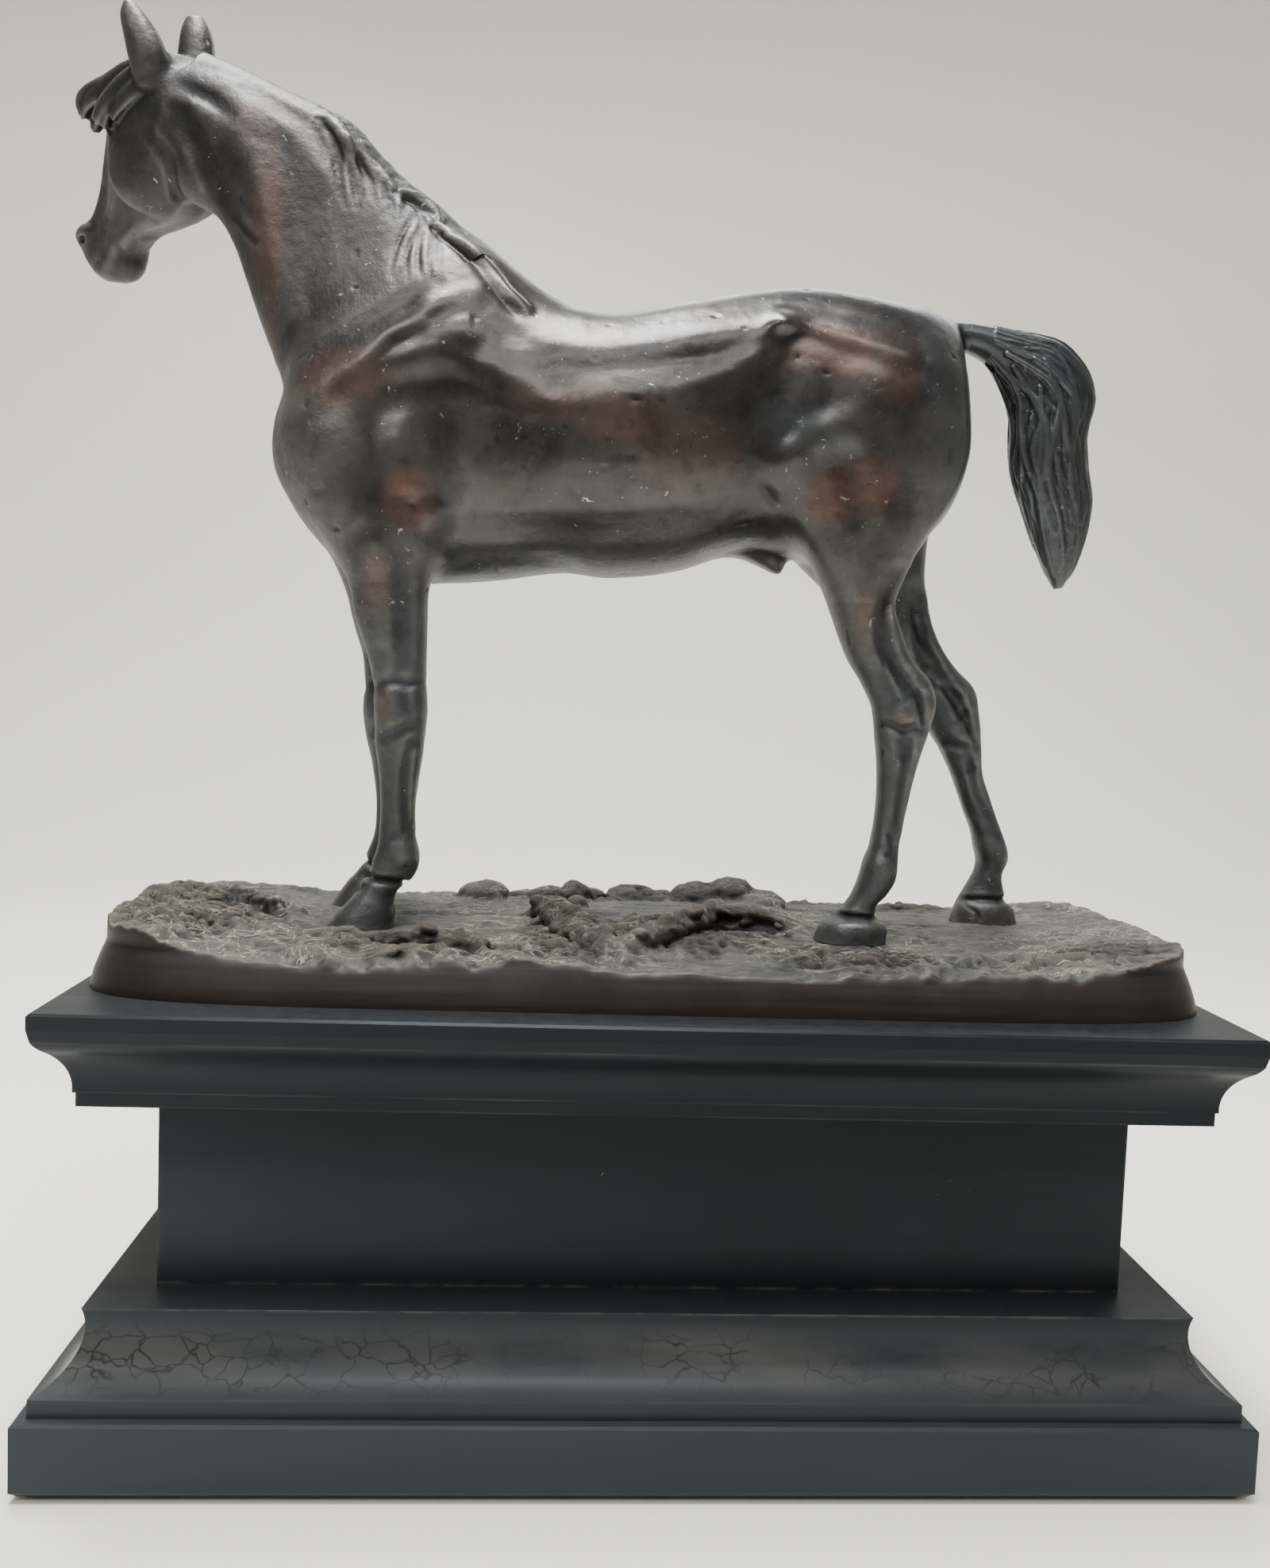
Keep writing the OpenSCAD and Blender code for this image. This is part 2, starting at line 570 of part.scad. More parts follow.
module ground_casting() {
    color(ground_bronze) difference() {
        one_mesh() difference() {
            union() {
                ground_skin();
                for (s = stones)
                    stone(s);
                limb(branch, 8);
                limb(fork, 8);
            }
            translate([0, 0, cap_top - over]) linear_extrude(ground_ceiling - cap_top + over)
                polygon([
                    for (i = [0 : ground_steps - 1])
                        outline_at(360 * i / ground_steps, ground_wall + ground_draft)
                ]);
        }
        for (s = studs)
            translate([s[0], s[1], ground_ceiling - over]) bore(stud_d, seat_h + over);
        for (h = hoof_seats)
            translate([h[0], h[1], ground_z])
                linear_extrude(seat_h) scale([h[2], h[3]]) circle(r = 1, $fn = 12);
    }
    boss_h = ground_ceiling - cap_top;
    color(ground_bronze) for (x = [-bolt_x, bolt_x], y = [-bolt_y, bolt_y])
        translate([x, y, cap_top]) difference() {
            cylinder(d = boss_d, h = boss_h + boss_roof, $fn = round_fn);
            translate([0, 0, -over]) bore(bolt_d, bolt_grip + 2 * over);
        }
}

module ground_bolts() {
    color(steel) for (x = [-bolt_x, bolt_x], y = [-bolt_y, bolt_y])
        translate([x, y, cap_board_z - bolt_washer[1]]) {
            translate([0, 0, -bolt_head[1]]) cylinder(d = bolt_head[0], h = bolt_head[1], $fn = 6);
            cylinder(d = bolt_d, h = cap_top - cap_board_z + bolt_washer[1] + bolt_grip, $fn = round_fn);
        }
}

module ground_bolt_washers() {
    color(steel) for (x = [-bolt_x, bolt_x], y = [-bolt_y, bolt_y])
        translate([x, y, cap_board_z - bolt_washer[1]]) difference() {
            cylinder(d = bolt_washer[0], h = bolt_washer[1], $fn = round_fn);
            translate([0, 0, -over]) bore(bolt_d, bolt_washer[1] + 2 * over);
        }
}

// A layer's rectangle: its length, with the depth that follows from it
module plan(length) {
    square([length, length - side_gap], center = true);
}

module base_felt() {
    color(baize) linear_extrude(felt_t) plan(slab_l - felt_inset);
}

module base_slab() {
    side_foot = felt_t + slab_foot_edge;
    color(lacquer) difference() {
        hull() {
            translate([0, 0, felt_t]) linear_extrude(slab_top - felt_t) plan(slab_l - 2 * slab_foot_edge);
            translate([0, 0, side_foot]) linear_extrude(slab_top - edge - side_foot) plan(slab_l);
            translate([0, 0, side_foot]) linear_extrude(slab_top - side_foot) plan(slab_l - 2 * edge);
        }
        slab_screw_places() screw_hole(slab_top);
    }
}

// Inside the corners of the die, where its blocks and screws stand
module die_corners(z) {
    for (x = [-1, 1], y = [-1, 1])
        translate([x * (die_l / 2 - board_t - block / 2), y * (die_d / 2 - board_t - block / 2), z])
            children();
}

module slab_screw_places() {
    die_corners(felt_t) children();
}

// A countersunk clearance hole from the place's level up
module screw_hole(depth) {
    translate([0, 0, -over / 2]) bore(2 * screw_d, over / 2 + screw_d / 2);
    translate([0, 0, -over / 2]) bore(screw_d, depth + over);
}

module wood_screw(length) {
    cylinder(d = 2 * screw_d, h = screw_d / 2, $fn = round_fn);
    cylinder(d = screw_d, h = length, $fn = round_fn);
}

module slab_screws() {
    color(steel) slab_screw_places() wood_screw(slab_screw_l);
}

module corner_blocks() {
    color(raw_wood) die_corners(slab_top) difference() {
        translate([-block / 2, -block / 2, 0]) cube([block, block, block_h]);
        translate([0, 0, -over]) bore(screw_d, block_bore_h + over);
    }
}

// One side of a mitred frame: its plan runs from the outside length to the inside length
module mitre(outside, inside, side) {
    o = [outside / 2, (outside - side_gap) / 2];
    n = [inside / 2, (inside - side_gap) / 2];
    front = [[-o[0], -o[1]], [o[0], -o[1]], [n[0], -n[1]], [-n[0], -n[1]]];
    right = [[o[0], -o[1]], [o[0], o[1]], [n[0], n[1]], [n[0], -n[1]]];
    plans = [front, -front, right, -right];
    translate([0, 0, -far / 2]) linear_extrude(far) polygon(plans[side]);
}

// A bar whose profile is drawn as [half length of the plinth there, height], along one side
module profile_bar(side) {
    turns = [-90, 90, 0, 180];
    shift = side < 2 ? -side_gap / 2 : 0;
    rotate([0, 0, turns[side]]) translate([shift, far / 2, 0])
        rotate([90, 0, 0]) linear_extrude(far) children();
}

// A rectangle of the profile from the die out to a half length
module layer(low, high, half) {
    translate([die_l / 2, low]) square([half - die_l / 2, high - low]);
}

module foot_profile() {
    difference() {
        layer(slab_top, foot_top, fillet_half);
        translate([foot_cove[0], foot_cove[1]]) circle(r = foot_cove[2], $fn = arc_fn);
        translate([foot_neck, foot_top - foot_neck_h]) square(2 * foot_cove[2]);
    }
}

module foot_moulding(side) {
    color(lacquer) intersection() {
        profile_bar(side) foot_profile();
        mitre(slab_l, die_l, side);
    }
}

module cap_profile() {
    intersection() {
        layer(cap_meet, cap_board_z, cap_l / 2);
        union() {
            translate([cap_roll, cap_side_z]) circle(r = cap_roll_r, $fn = arc_fn);
            layer(cap_meet, cap_board_z, cap_roll);
        }
    }
    difference() {
        layer(cap_bottom + cap_fillet_h, cap_meet, cap_l / 2);
        translate([cap_cove_neck + cap_cove_r, cap_cove_z]) circle(r = cap_cove_r, $fn = arc_fn);
    }
    layer(cap_bottom, cap_bottom + cap_fillet_h, cap_fillet);
}

module cap_moulding(side) {
    color(lacquer) intersection() {
        profile_bar(side) cap_profile();
        mitre(cap_l, die_l, side);
    }
}

module die_board(side) {
    color(lacquer) intersection() {
        translate([0, 0, slab_top]) linear_extrude(cap_board_z - slab_top) difference() {
            plan(die_l);
            plan(die_l - 2 * board_t);
        }
        mitre(die_l, die_l - 2 * board_t, side);
    }
}

module foot_moulding_front() { foot_moulding(0); }
module foot_moulding_back() { foot_moulding(1); }
module foot_moulding_right() { foot_moulding(2); }
module foot_moulding_left() { foot_moulding(3); }
module cap_moulding_front() { cap_moulding(0); }
module cap_moulding_back() { cap_moulding(1); }
module cap_moulding_right() { cap_moulding(2); }
module cap_moulding_left() { cap_moulding(3); }
module die_board_front() { die_board(0); }
module die_board_back() { die_board(1); }
module die_board_right() { die_board(2); }
module die_board_left() { die_board(3); }

module cap_board() {
    rolled = cap_roll + sqrt(pow(cap_roll_r, 2) - pow(cap_side_z - cap_board_z, 2));
    color(lacquer) difference() {
        hull() {
            translate([0, 0, cap_board_z]) linear_extrude(cap_top - cap_board_z) plan(2 * rolled);
            translate([0, 0, cap_side_z]) linear_extrude(cap_top - edge - cap_side_z) plan(cap_l);
            translate([0, 0, cap_side_z]) linear_extrude(cap_top - cap_side_z) plan(cap_l - 2 * edge);
        }
        for (x = [-bolt_x, bolt_x], y = [-bolt_y, bolt_y])
            translate([x, y, cap_board_z - over]) bore(bolt_d, cap_top - cap_board_z + 2 * over);
        cap_screw_places() bore(screw_d, cleat_h + cap_screw_bite + end_gap);
    }
}

// Three screws along each cleat
module cap_screw_places() {
    for (x = [-cap_screw_x, 0, cap_screw_x], y = [-1, 1])
        translate([x, y * (die_d / 2 - board_t - cleat_h / 2), cap_board_z - cleat_h]) children();
}

module cap_cleats() {
    color(raw_wood) difference() {
        for (y = [-1, 1])
            translate([-cleat_l / 2, y * (die_d / 2 - board_t - cleat_h / 2) - cleat_h / 2,
                       cap_board_z - cleat_h])
                cube([cleat_l, cleat_h, cleat_h]);
        cap_screw_places() screw_hole(cleat_h);
        for (x = [-bolt_x, bolt_x], y = [-bolt_y, bolt_y])
            translate([x, y, cap_board_z - cleat_h - over])
                cylinder(d = cleat_relief_d, h = cleat_h + 2 * over, $fn = round_fn);
    }
}

module cap_screws() {
    color(steel) cap_screw_places() wood_screw(cleat_h + cap_screw_bite);
}

base_felt();
base_slab();
foot_moulding_front();
foot_moulding_back();
foot_moulding_left();
foot_moulding_right();
die_board_front();
die_board_back();
die_board_left();
die_board_right();
corner_blocks();
cap_cleats();
cap_moulding_front();
cap_moulding_back();
cap_moulding_left();
cap_moulding_right();
cap_board();
slab_screws();
cap_screws();
ground_casting();
ground_bolts();
ground_bolt_washers();
hoof_fore_left();
hoof_fore_right();
hoof_hind_left();
hoof_hind_right();
foreleg_left();
foreleg_right();
hindleg_left();
hindleg_right();
torso();
neck();
head();
tail();
leg_studs();
stud_washers();
stud_nuts();
leg_pins();
neck_pins();
head_pin();
tail_pin();
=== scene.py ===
"""Looks for the bronze horse: sculpted skins for the castings, finishes, floor, lights and camera."""

import json
import math

import bmesh
import bpy
import numpy as np
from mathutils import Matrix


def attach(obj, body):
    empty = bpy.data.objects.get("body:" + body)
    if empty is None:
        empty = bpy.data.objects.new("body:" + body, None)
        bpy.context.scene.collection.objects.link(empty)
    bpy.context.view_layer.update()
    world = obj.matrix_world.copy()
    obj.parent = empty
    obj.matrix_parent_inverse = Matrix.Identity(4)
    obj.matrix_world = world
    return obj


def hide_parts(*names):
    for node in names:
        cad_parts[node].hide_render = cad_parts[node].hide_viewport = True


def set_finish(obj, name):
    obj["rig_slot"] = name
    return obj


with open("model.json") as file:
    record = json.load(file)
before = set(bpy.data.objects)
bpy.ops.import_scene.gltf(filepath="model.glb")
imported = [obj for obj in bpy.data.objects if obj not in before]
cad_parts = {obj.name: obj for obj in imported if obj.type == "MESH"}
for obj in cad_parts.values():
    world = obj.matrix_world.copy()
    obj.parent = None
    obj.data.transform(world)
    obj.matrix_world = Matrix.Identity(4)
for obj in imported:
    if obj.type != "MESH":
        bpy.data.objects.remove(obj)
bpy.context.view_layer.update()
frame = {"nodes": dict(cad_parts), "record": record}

import openvdb
from mathutils import Matrix, Vector

MM = 0.001
BAND = 6.0  # how far from a surface the distance blocks are true, in mm

# ---------------------------------------------------------------------------
# Forms of the horse, in millimetres. The horse faces -x, its near side is -y.
# A row is one ring: front or top x and z, back or bottom x and z, centre y, half width.
# ---------------------------------------------------------------------------
TORSO = [
    (83.5, 301, 86, 284, 0, 4), (79.5, 306.5, 85, 270, 0, 14), (73, 309, 81.5, 252, 0, 22),
    (62, 310.5, 72, 243, 0, 27), (48, 312.5, 54, 237, 0, 28.5), (34, 312.8, 37, 237.5, 0, 28),
    (20, 310.5, 22, 238.5, 0, 28.5), (4, 307, 4, 232.5, 0, 30.5), (-12, 303.5, -14, 230, 0, 31.5),
    (-24, 303.5, -30, 230.5, 0, 31), (-33, 306, -46, 228, 0, 29), (-41, 310.5, -60, 226.5, 0, 27.5),
    (-50, 317, -76, 226, 0, 27), (-62, 319, -89, 229, 0, 27), (-80, 310, -99, 238, 0, 25.5),
    (-95, 297, -106, 249, 0, 21), (-103, 284, -108.8, 257, 0, 14), (-106.5, 275, -109.2, 265, 0, 6),
]
NECK = [
    (-30, 303, -98, 254, 0, 22), (-46, 314.5, -105, 275, 0, 21), (-56, 322.5, -110.5, 286, 0, 17.5),
    (-66, 331, -115.5, 297, 0.5, 14.5), (-77, 339, -119.5, 307, 1, 12.5),
    (-91, 352.5, -123.5, 317, 2, 11.5),
    (-107, 360, -129, 326, 4, 11), (-121, 366.5, -137, 331, 6, 10.5), (-133, 371.5, -146, 338, 8, 9.5),
]
TAIL = [
    (74, 308, 76, 298, 0, 3), (84, 307, 84, 299, 0, 4.2), (93, 306, 91.5, 296, 0, 5),
    (104, 304.3, 95.5, 291, 0, 6), (113.5, 302.2, 98.5, 286, 0, 7), (120.5, 295, 100.3, 281, 0, 7.6),
    (123.5, 287, 100.6, 276, 0, 8), (121.5, 277, 101, 270, 0, 8), (122.5, 267, 102.4, 262.5, 0, 7.6),
    (124.5, 258, 105.3, 255, 0, 7), (123.7, 249, 108.3, 247, 0, 6), (121.3, 239.5, 111.5, 239, 0, 4.4),
    (118, 232.5, 115.5, 232, 0, 1.4),
]
FORE_NEAR = [
    (-98, 290, -62, 286, -10, 9), (-104, 268, -58, 262, -13, 13), (-101, 248, -59, 245, -14.5, 13),
    (-92, 234, -61.5, 234, -15, 11.5), (-86.5, 224, -65, 224, -15, 10),
    (-84.5, 214.5, -65.3, 214.5, -15, 9),
    (-81.2, 206, -65.1, 206, -15.5, 8), (-79.2, 197.5, -64.8, 197.5, -15.5, 7.2),
    (-78.6, 188.5, -64.4, 188.5, -15.5, 7.2), (-78.2, 180, -65, 180, -15.5, 6.4),
    (-77.2, 174, -66, 174, -15.5, 5.2), (-76.4, 165, -67.2, 165, -16, 4.6),
    (-76.5, 157, -66.8, 157, -16, 5),
    (-77.3, 151, -65.3, 149, -16, 6.2), (-80, 145, -67, 144, -16, 5.8),
    (-81.5, 141.5, -71.3, 140, -16, 5.4),
    (-84, 137.5, -72, 135.5, -16, 6.8), (-87.3, 134, -72, 132.5, -16, 7.8),
    (-90.5, 129.6, -71.6, 129.6, -16, 8.6),
]
FORE_FAR = [
    (-101, 290, -66, 286, 10, 9), (-107, 268, -62, 262, 13, 13), (-104, 248, -63, 245, 14.5, 13),
    (-96.5, 234, -66.5, 234, 15.5, 11.5), (-92, 224, -71, 224, 16.5, 10), (-89.5, 214.5, -72, 214.5, 17, 9),
    (-87, 206, -72, 206, 18, 8), (-86.2, 197.5, -72, 197.5, 18.5, 7.2),
    (-86.6, 188.5, -72.2, 188.5, 19, 7.2),
    (-85.3, 180, -72.5, 180, 19.3, 6.4), (-83.8, 174, -73.2, 174, 19.5, 5.2),
    (-82.4, 165, -73.5, 165, 19.7, 4.6),
    (-82.1, 157, -73, 157, 19.8, 5), (-82.8, 151, -71.3, 149, 20, 6.2),
    (-85.5, 144.5, -73.5, 143.5, 20, 5.8),
    (-88, 140.5, -77.5, 139.5, 20, 5.4), (-90, 137.5, -78, 135.5, 20, 6.8),
    (-92.5, 134, -78, 132.5, 20, 7.8), (-95.5, 129.6, -77.5, 129.6, 20, 8.6),
]
HIND_NEAR = [
    (36, 292, 80, 288, -12, 12), (27, 268, 83, 268, -14, 14), (29, 251, 77, 251, -14.5, 13),
    (35, 242, 71.5, 241.5, -15, 11.5), (41.5, 233, 66.5, 233, -15.5, 10), (46, 224, 63.3, 224, -16, 8.8),
    (48.8, 216.5, 66, 217, -16.5, 7.6), (51.8, 209, 69.7, 209, -17, 6.8), (56, 202, 75, 203.5, -17.5, 6.8),
    (59, 195.5, 76.8, 197.5, -18, 6.8), (60.2, 187.5, 75.2, 189.5, -18.2, 6.2),
    (61.2, 178.5, 72, 179, -18.5, 5.2),
    (61.2, 168, 69.5, 168, -19, 4.8), (60, 158, 68, 157.5, -19.5, 5.2), (58, 151, 67.5, 148.5, -20, 6.2),
    (55.5, 143.5, 65, 143.6, -20, 5.7), (52.5, 139.2, 62, 140, -20, 5.6), (49.8, 137, 63.5, 136.8, -20, 7),
    (47, 134.5, 65, 134.5, -20, 8.2), (45, 129.6, 65.6, 129.6, -20, 8.8),
]
HIND_FAR = [
    (36, 292, 84, 288, 12, 12), (28, 268, 86, 270, 14, 14), (33, 249, 82, 256, 14.5, 13),
    (42, 238, 81, 244, 15, 11.5), (52, 229, 81, 233, 15.5, 10), (61, 220, 82.8, 222, 16, 8.8),
    (69, 212, 87, 214, 16, 7.6), (77, 203, 92.5, 208, 16.5, 6.8), (82, 195, 98.5, 202, 16.5, 6.8),
    (86, 188, 100.5, 193, 16.8, 6.6), (90, 182, 101.7, 184, 17, 6), (93.6, 174.5, 102.6, 175, 17, 5),
    (96.8, 166.5, 106, 166, 17, 4.8), (99.9, 159.4, 109.6, 158.5, 17, 5.2), (102, 153, 111.9, 151, 17, 6.2),
    (102.5, 147.5, 110.2, 145.6, 17, 5.7), (100, 142, 110.8, 141.5, 17, 5.8), (98, 138.3, 112, 138, 17, 7),
    (96.3, 134.5, 114, 134.5, 17, 8.2), (95, 129.6, 116, 129.6, 17, 8.8),
]
SHEATH = [(16, 246, 15, 239, 0, 4.5), (25, 245, 24, 236.6, 0, 5.5), (31.5, 242, 31, 233.6, 0, 4.4),
          (36, 238.5, 34.6, 232.2, 0, 2.0)]

# The head, down the face from the poll: distance, forehead side, jaw side, half width
HEAD = [
    (-3, 2, -7, 5), (1, 7, -14.5, 9.5), (8, 10, -22, 12), (16, 12, -26, 13), (24, 12.5, -27, 12.6),
    (31, 12, -25.5, 11), (37.5, 11, -20.5, 9.4), (44, 9.8, -14.5, 8), (50.5, 9, -11, 7.6),
    (57, 8.8, -9.8, 7.8),
    (62.5, 8.2, -9.4, 8), (67, 6, -7.6, 6.6), (70, 2, -4, 3.2),
]
POLL = np.array([-141.0, 6.0, 366.5])
HEAD_TURN, HEAD_SLOPE, HEAD_LEAN = 53.0, 40.0, 16.0


# Relief read from the side. A line is points (x, z, width, height); a minus height is a groove.
BODY_LINES = [
    [(-99.5, 268.5, 5, 0.3), (-92.5, 276, 5, 0.7), (-87, 280, 5, 0.8), (-77.5, 288.5, 4.5, 1),
     (-69.5, 293, 4.5, 1.1),
     (-64.5, 297.5, 4.5, 1), (-55, 301, 5, 0.5)],  # front edge of the shoulder blade
    [(-101, 275, 5, -0.4), (-95, 281.5, 6, -0.8), (-86, 287, 6, -0.9), (-79, 292.5, 5.5, -0.8),
     (-71, 298.5, 5, -0.6),
     (-65, 302.5, 4.5, -0.4)],  # hollow before the shoulder blade
    [(-83.5, 276.5, 6, 0.3), (-80.5, 279.5, 6, 0.6), (-76, 281, 6, 0.65), (-70, 281, 6, 0.6),
     (-60.5, 283, 6, 0.6),
     (-57.5, 281.5, 4.5, 0.4)],  # top of the shoulder muscle
    [(-78.5, 271, 6, -0.4), (-73.5, 274, 8, -0.55), (-65, 276, 8, -0.55),
     (-58, 275, 7, -0.3)],  # hollow under it
    [(-74, 272.5, 6, -0.4), (-78.5, 266.5, 7, -0.9), (-80, 260, 7, -0.8),
     (-79, 252.5, 6, -0.3)],  # before the upper arm
    [(-63, 272, 6, -0.2), (-61, 263.5, 6, -0.5), (-59.5, 253.5, 6, -0.7), (-60, 244, 5, -0.8),
     (-62, 236.5, 4, -0.7)],  # behind the upper arm
    [(-56, 281, 6, 0.3), (-51.5, 280, 6, 0.8), (-45.5, 277.5, 6, 0.9), (-40, 276, 6, 0.9),
     (-34, 274.5, 6, 0.4)],  # upper edge of the ribs
    [(-44.5, 283, 9, -0.3), (-32, 281, 9, -0.4), (-15, 282.5, 9, -0.35), (1.5, 286, 8, -0.35),
     (16, 291, 7, -0.2)],  # over the ribs
    [(-29, 273.5, 8, 0.3), (-15, 275.5, 8, 0.6), (-0.5, 277.5, 8, 0.7), (11.5, 280.5, 7, 0.7),
     (19.5, 286.5, 6, 0.8),
     (24.5, 292, 6, 0.7), (28, 297.5, 5, 0.5)],  # lower edge of the loin to the hip
    [(-34, 286.5, 7, 0.4), (-19.5, 288, 7, 0.7), (-1, 291.5, 7, 0.8), (16, 295, 6, 0.9),
     (27.5, 298.5, 5, 1)],  # loin
    [(28, 298.5, 4.5, 0.9), (35, 298.4, 5, 0.9), (42, 296.5, 5, 0.8), (49, 294.8, 5.5, 0.8),
     (58.5, 292, 6, 0.6), (62, 289.5, 5, 0.2)],  # croup
    [(-59, 240.5, 4, -0.4), (-47.5, 240.5, 5, -0.7), (-35, 240.5, 5, -0.7), (-18, 241, 5, -0.7),
     (3, 244, 5, -0.6), (15, 247.5, 5, -0.4),
     (23.5, 249.5, 4, -0.3)],  # belly fold
    [(-61.5, 229, 2, -0.5), (-53.5, 231, 1.8, -0.9), (-43, 232.5, 1.8, -0.8), (-30.5, 232.5, 1.8, -0.6),
     (-20.5, 230, 1.5, -0.2)],  # girth
    [(-60, 232, 1.6, -0.5), (-49.5, 233.5, 1.6, -0.6), (-39, 234.5, 1.6, -0.4),
     (-27.5, 234.5, 1.4, -0.2)],  # girth, above
    [(33, 291, 7, -0.4), (28.5, 286, 9, -1.1), (26, 277.5, 11, -1.3), (24, 267, 10, -1.0),
     (22, 256.5, 8, -0.5)],  # flank hollow
    [(15.5, 276, 12, -0.6), (12, 267, 14, -0.8), (11, 258, 12, -0.5)],  # above the fold of the flank
    [(24.5, 254, 2, -0.6), (26.5, 252, 2, -0.9), (28, 250, 2, -0.6)],  # crease at the stifle
    [(34, 290, 6, 0.4), (33, 281, 6, 0.5), (31.5, 269, 7, 0.6), (30, 260.5, 7, 0.7)],  # front of the thigh
    [(58.5, 290, 6, -0.2), (61, 281, 7, -0.4), (63, 266.5, 7, -0.5), (62, 254, 7, -0.5),
     (59, 241, 6, -0.4)],  # down the thigh
    [(43.5, 265.5, 6, -0.4), (47.5, 257.5, 6, -0.7), (49.5, 247, 5, -0.6)],  # edge of the thigh muscle
    [(71.5, 294, 7, 0.6), (75.5, 286, 8, 0.9), (76, 275.5, 8, 0.8)],  # point of the buttock
]
# Broad muscles: (x, z), half sizes, height, turn
BODY_SWELLS = [
    ((-70, 257), (11, 13), 0.9, 15),  # upper arm
    ((-92, 257), (13, 17), 1.4, 10),  # point of the shoulder
    ((-87, 242), (9, 10), 0.8, 0),  # breast
    ((-63.5, 242), (5, 6), 0.8, 0),  # elbow
    ((-22, 262), (48, 26), 1.2, 0),  # ribs
    ((29, 297.5), (8, 5), 1.2, 15),  # hip
    ((31, 258.5), (9, 10), 1.4, 0),  # stifle
    ((42, 268), (17, 9), 1.7, 25),  # thigh
    ((53, 280), (14, 12), 0.8, 0),  # rump
    ((-47, 283), (16, 9), 1.2, -10),  # behind the shoulder
    ((-63, 287), (16, 9), 1.5, 25),  # over the shoulder
    ((-55, 293), (12, 8), 0.7, 20),  # top of the shoulder
]
NECK_LINES = [
    [(-137.5, 353.5, 6, 0.4), (-127.5, 349.5, 8, 0.9), (-119, 344.5, 9, 1.1), (-113.5, 332, 10, 1.2),
     (-110, 315.5, 10, 1.2),
     (-107, 299.5, 9, 1.0), (-104, 285, 8, 0.5)],  # long muscle of the neck
    [(-127, 329, 6, -0.5), (-123, 320.5, 6, -0.9), (-118.5, 311.5, 6, -0.9), (-114, 301.5, 6, -0.8),
     (-110, 290, 5, -0.5)],  # throat
    [(-115.5, 349, 6, -0.3), (-108.5, 341.5, 8, -0.6), (-104, 329, 9, -0.8), (-101.5, 314.5, 9, -0.8),
     (-98, 300, 9, -0.5)],  # behind it
    [(-138, 361, 4.5, 0.4), (-132, 360, 5, 0.7), (-126, 358, 5.5, 0.8), (-118.5, 353.5, 6, 0.7),
     (-111, 348, 6, 0.5), (-105.5, 345, 5, 0.2)],  # poll
    [(-137, 357.5, 3.5, -0.3), (-132, 356, 3.5, -0.55), (-127.5, 354, 3.5, -0.55),
     (-122, 350.5, 3, -0.3)],  # behind the ear
    [(-138.5, 355.5, 3, 0.3), (-134.5, 353, 3.5, 0.6), (-130, 350.5, 3.5, 0.5),
     (-127, 347, 3, 0.2)],  # wing of the first neck bone
    [(-119.5, 358, 3, -0.3), (-110, 353, 3.5, -0.6), (-102.5, 348, 4, -0.7), (-94, 340, 5, -0.8),
     (-87.5, 332, 5, -0.5)],  # under the crest
    [(-137.5, 352, 4, -0.5), (-132, 342.5, 4.5, -1.0), (-127, 333, 4.5, -1.0),
     (-121, 325, 4, -0.5)],  # behind the jaw
    [(-91.5, 325.5, 12, -0.6), (-89, 315.5, 12, -0.7), (-86.5, 305, 10, -0.4)],  # shallow plane
    [(-121, 323.5, 1.6, -0.4), (-118, 320, 1.6, -0.7), (-114.5, 316, 1.6, -0.5)],  # crease by the throat
]
FORELEG_LINES = [
    [(-79, 231, 6, 0.6), (-77.5, 221.5, 6, 0.9), (-76, 210, 5, 0.6)],  # forearm
    [(-71, 231.5, 4, -0.4), (-71, 219, 4, -0.7), (-70.5, 206, 3.5, -0.6),
     (-72, 198.5, 3, -0.3)],  # forearm groove
    [(-66.5, 223, 4, 0.5), (-66.5, 210.5, 4, 0.5), (-66, 201, 3, 0.2)],  # back of the forearm
    [(-78, 195.5, 2.5, -0.3), (-74, 198, 2.5, -0.5), (-68.5, 197.5, 2.5, -0.6)],  # above the knee
    [(-74.5, 193, 5, 0.7), (-74, 188, 5, 0.6)],  # knee
    [(-67, 195, 3, 0.6), (-66, 190.5, 3, 0.5)],  # back of the knee
    [(-75.5, 182.5, 2.5, -0.3), (-71.5, 184.5, 2.5, -0.6), (-68.5, 186, 2.5, -0.5)],  # under the knee
    [(-68, 181.5, 2, -0.4), (-69.5, 174, 2, -0.8), (-69.5, 165.5, 2, -0.8),
     (-69, 158, 2, -0.4)],  # tendon groove
    [(-66.5, 178.5, 2.2, 0.4), (-67, 168, 2.2, 0.5), (-67, 158, 2.2, 0.3)],  # tendon
    [(-69.5, 152.5, 4, 0.5), (-68.5, 150.5, 4, 0.5)],  # fetlock
]
PASTERN_LINES = [
    [(-81, 144.6, 1.5, -1.3), (-76, 143.6, 1.5, -1.5), (-69.5, 143.2, 1.5, -1.4)],  # coronet
    [(-79.5, 148.5, 1.2, -0.7), (-78, 144, 1.3, -0.9), (-81.5, 139.5, 1.3, -0.9)],  # casting seam
]
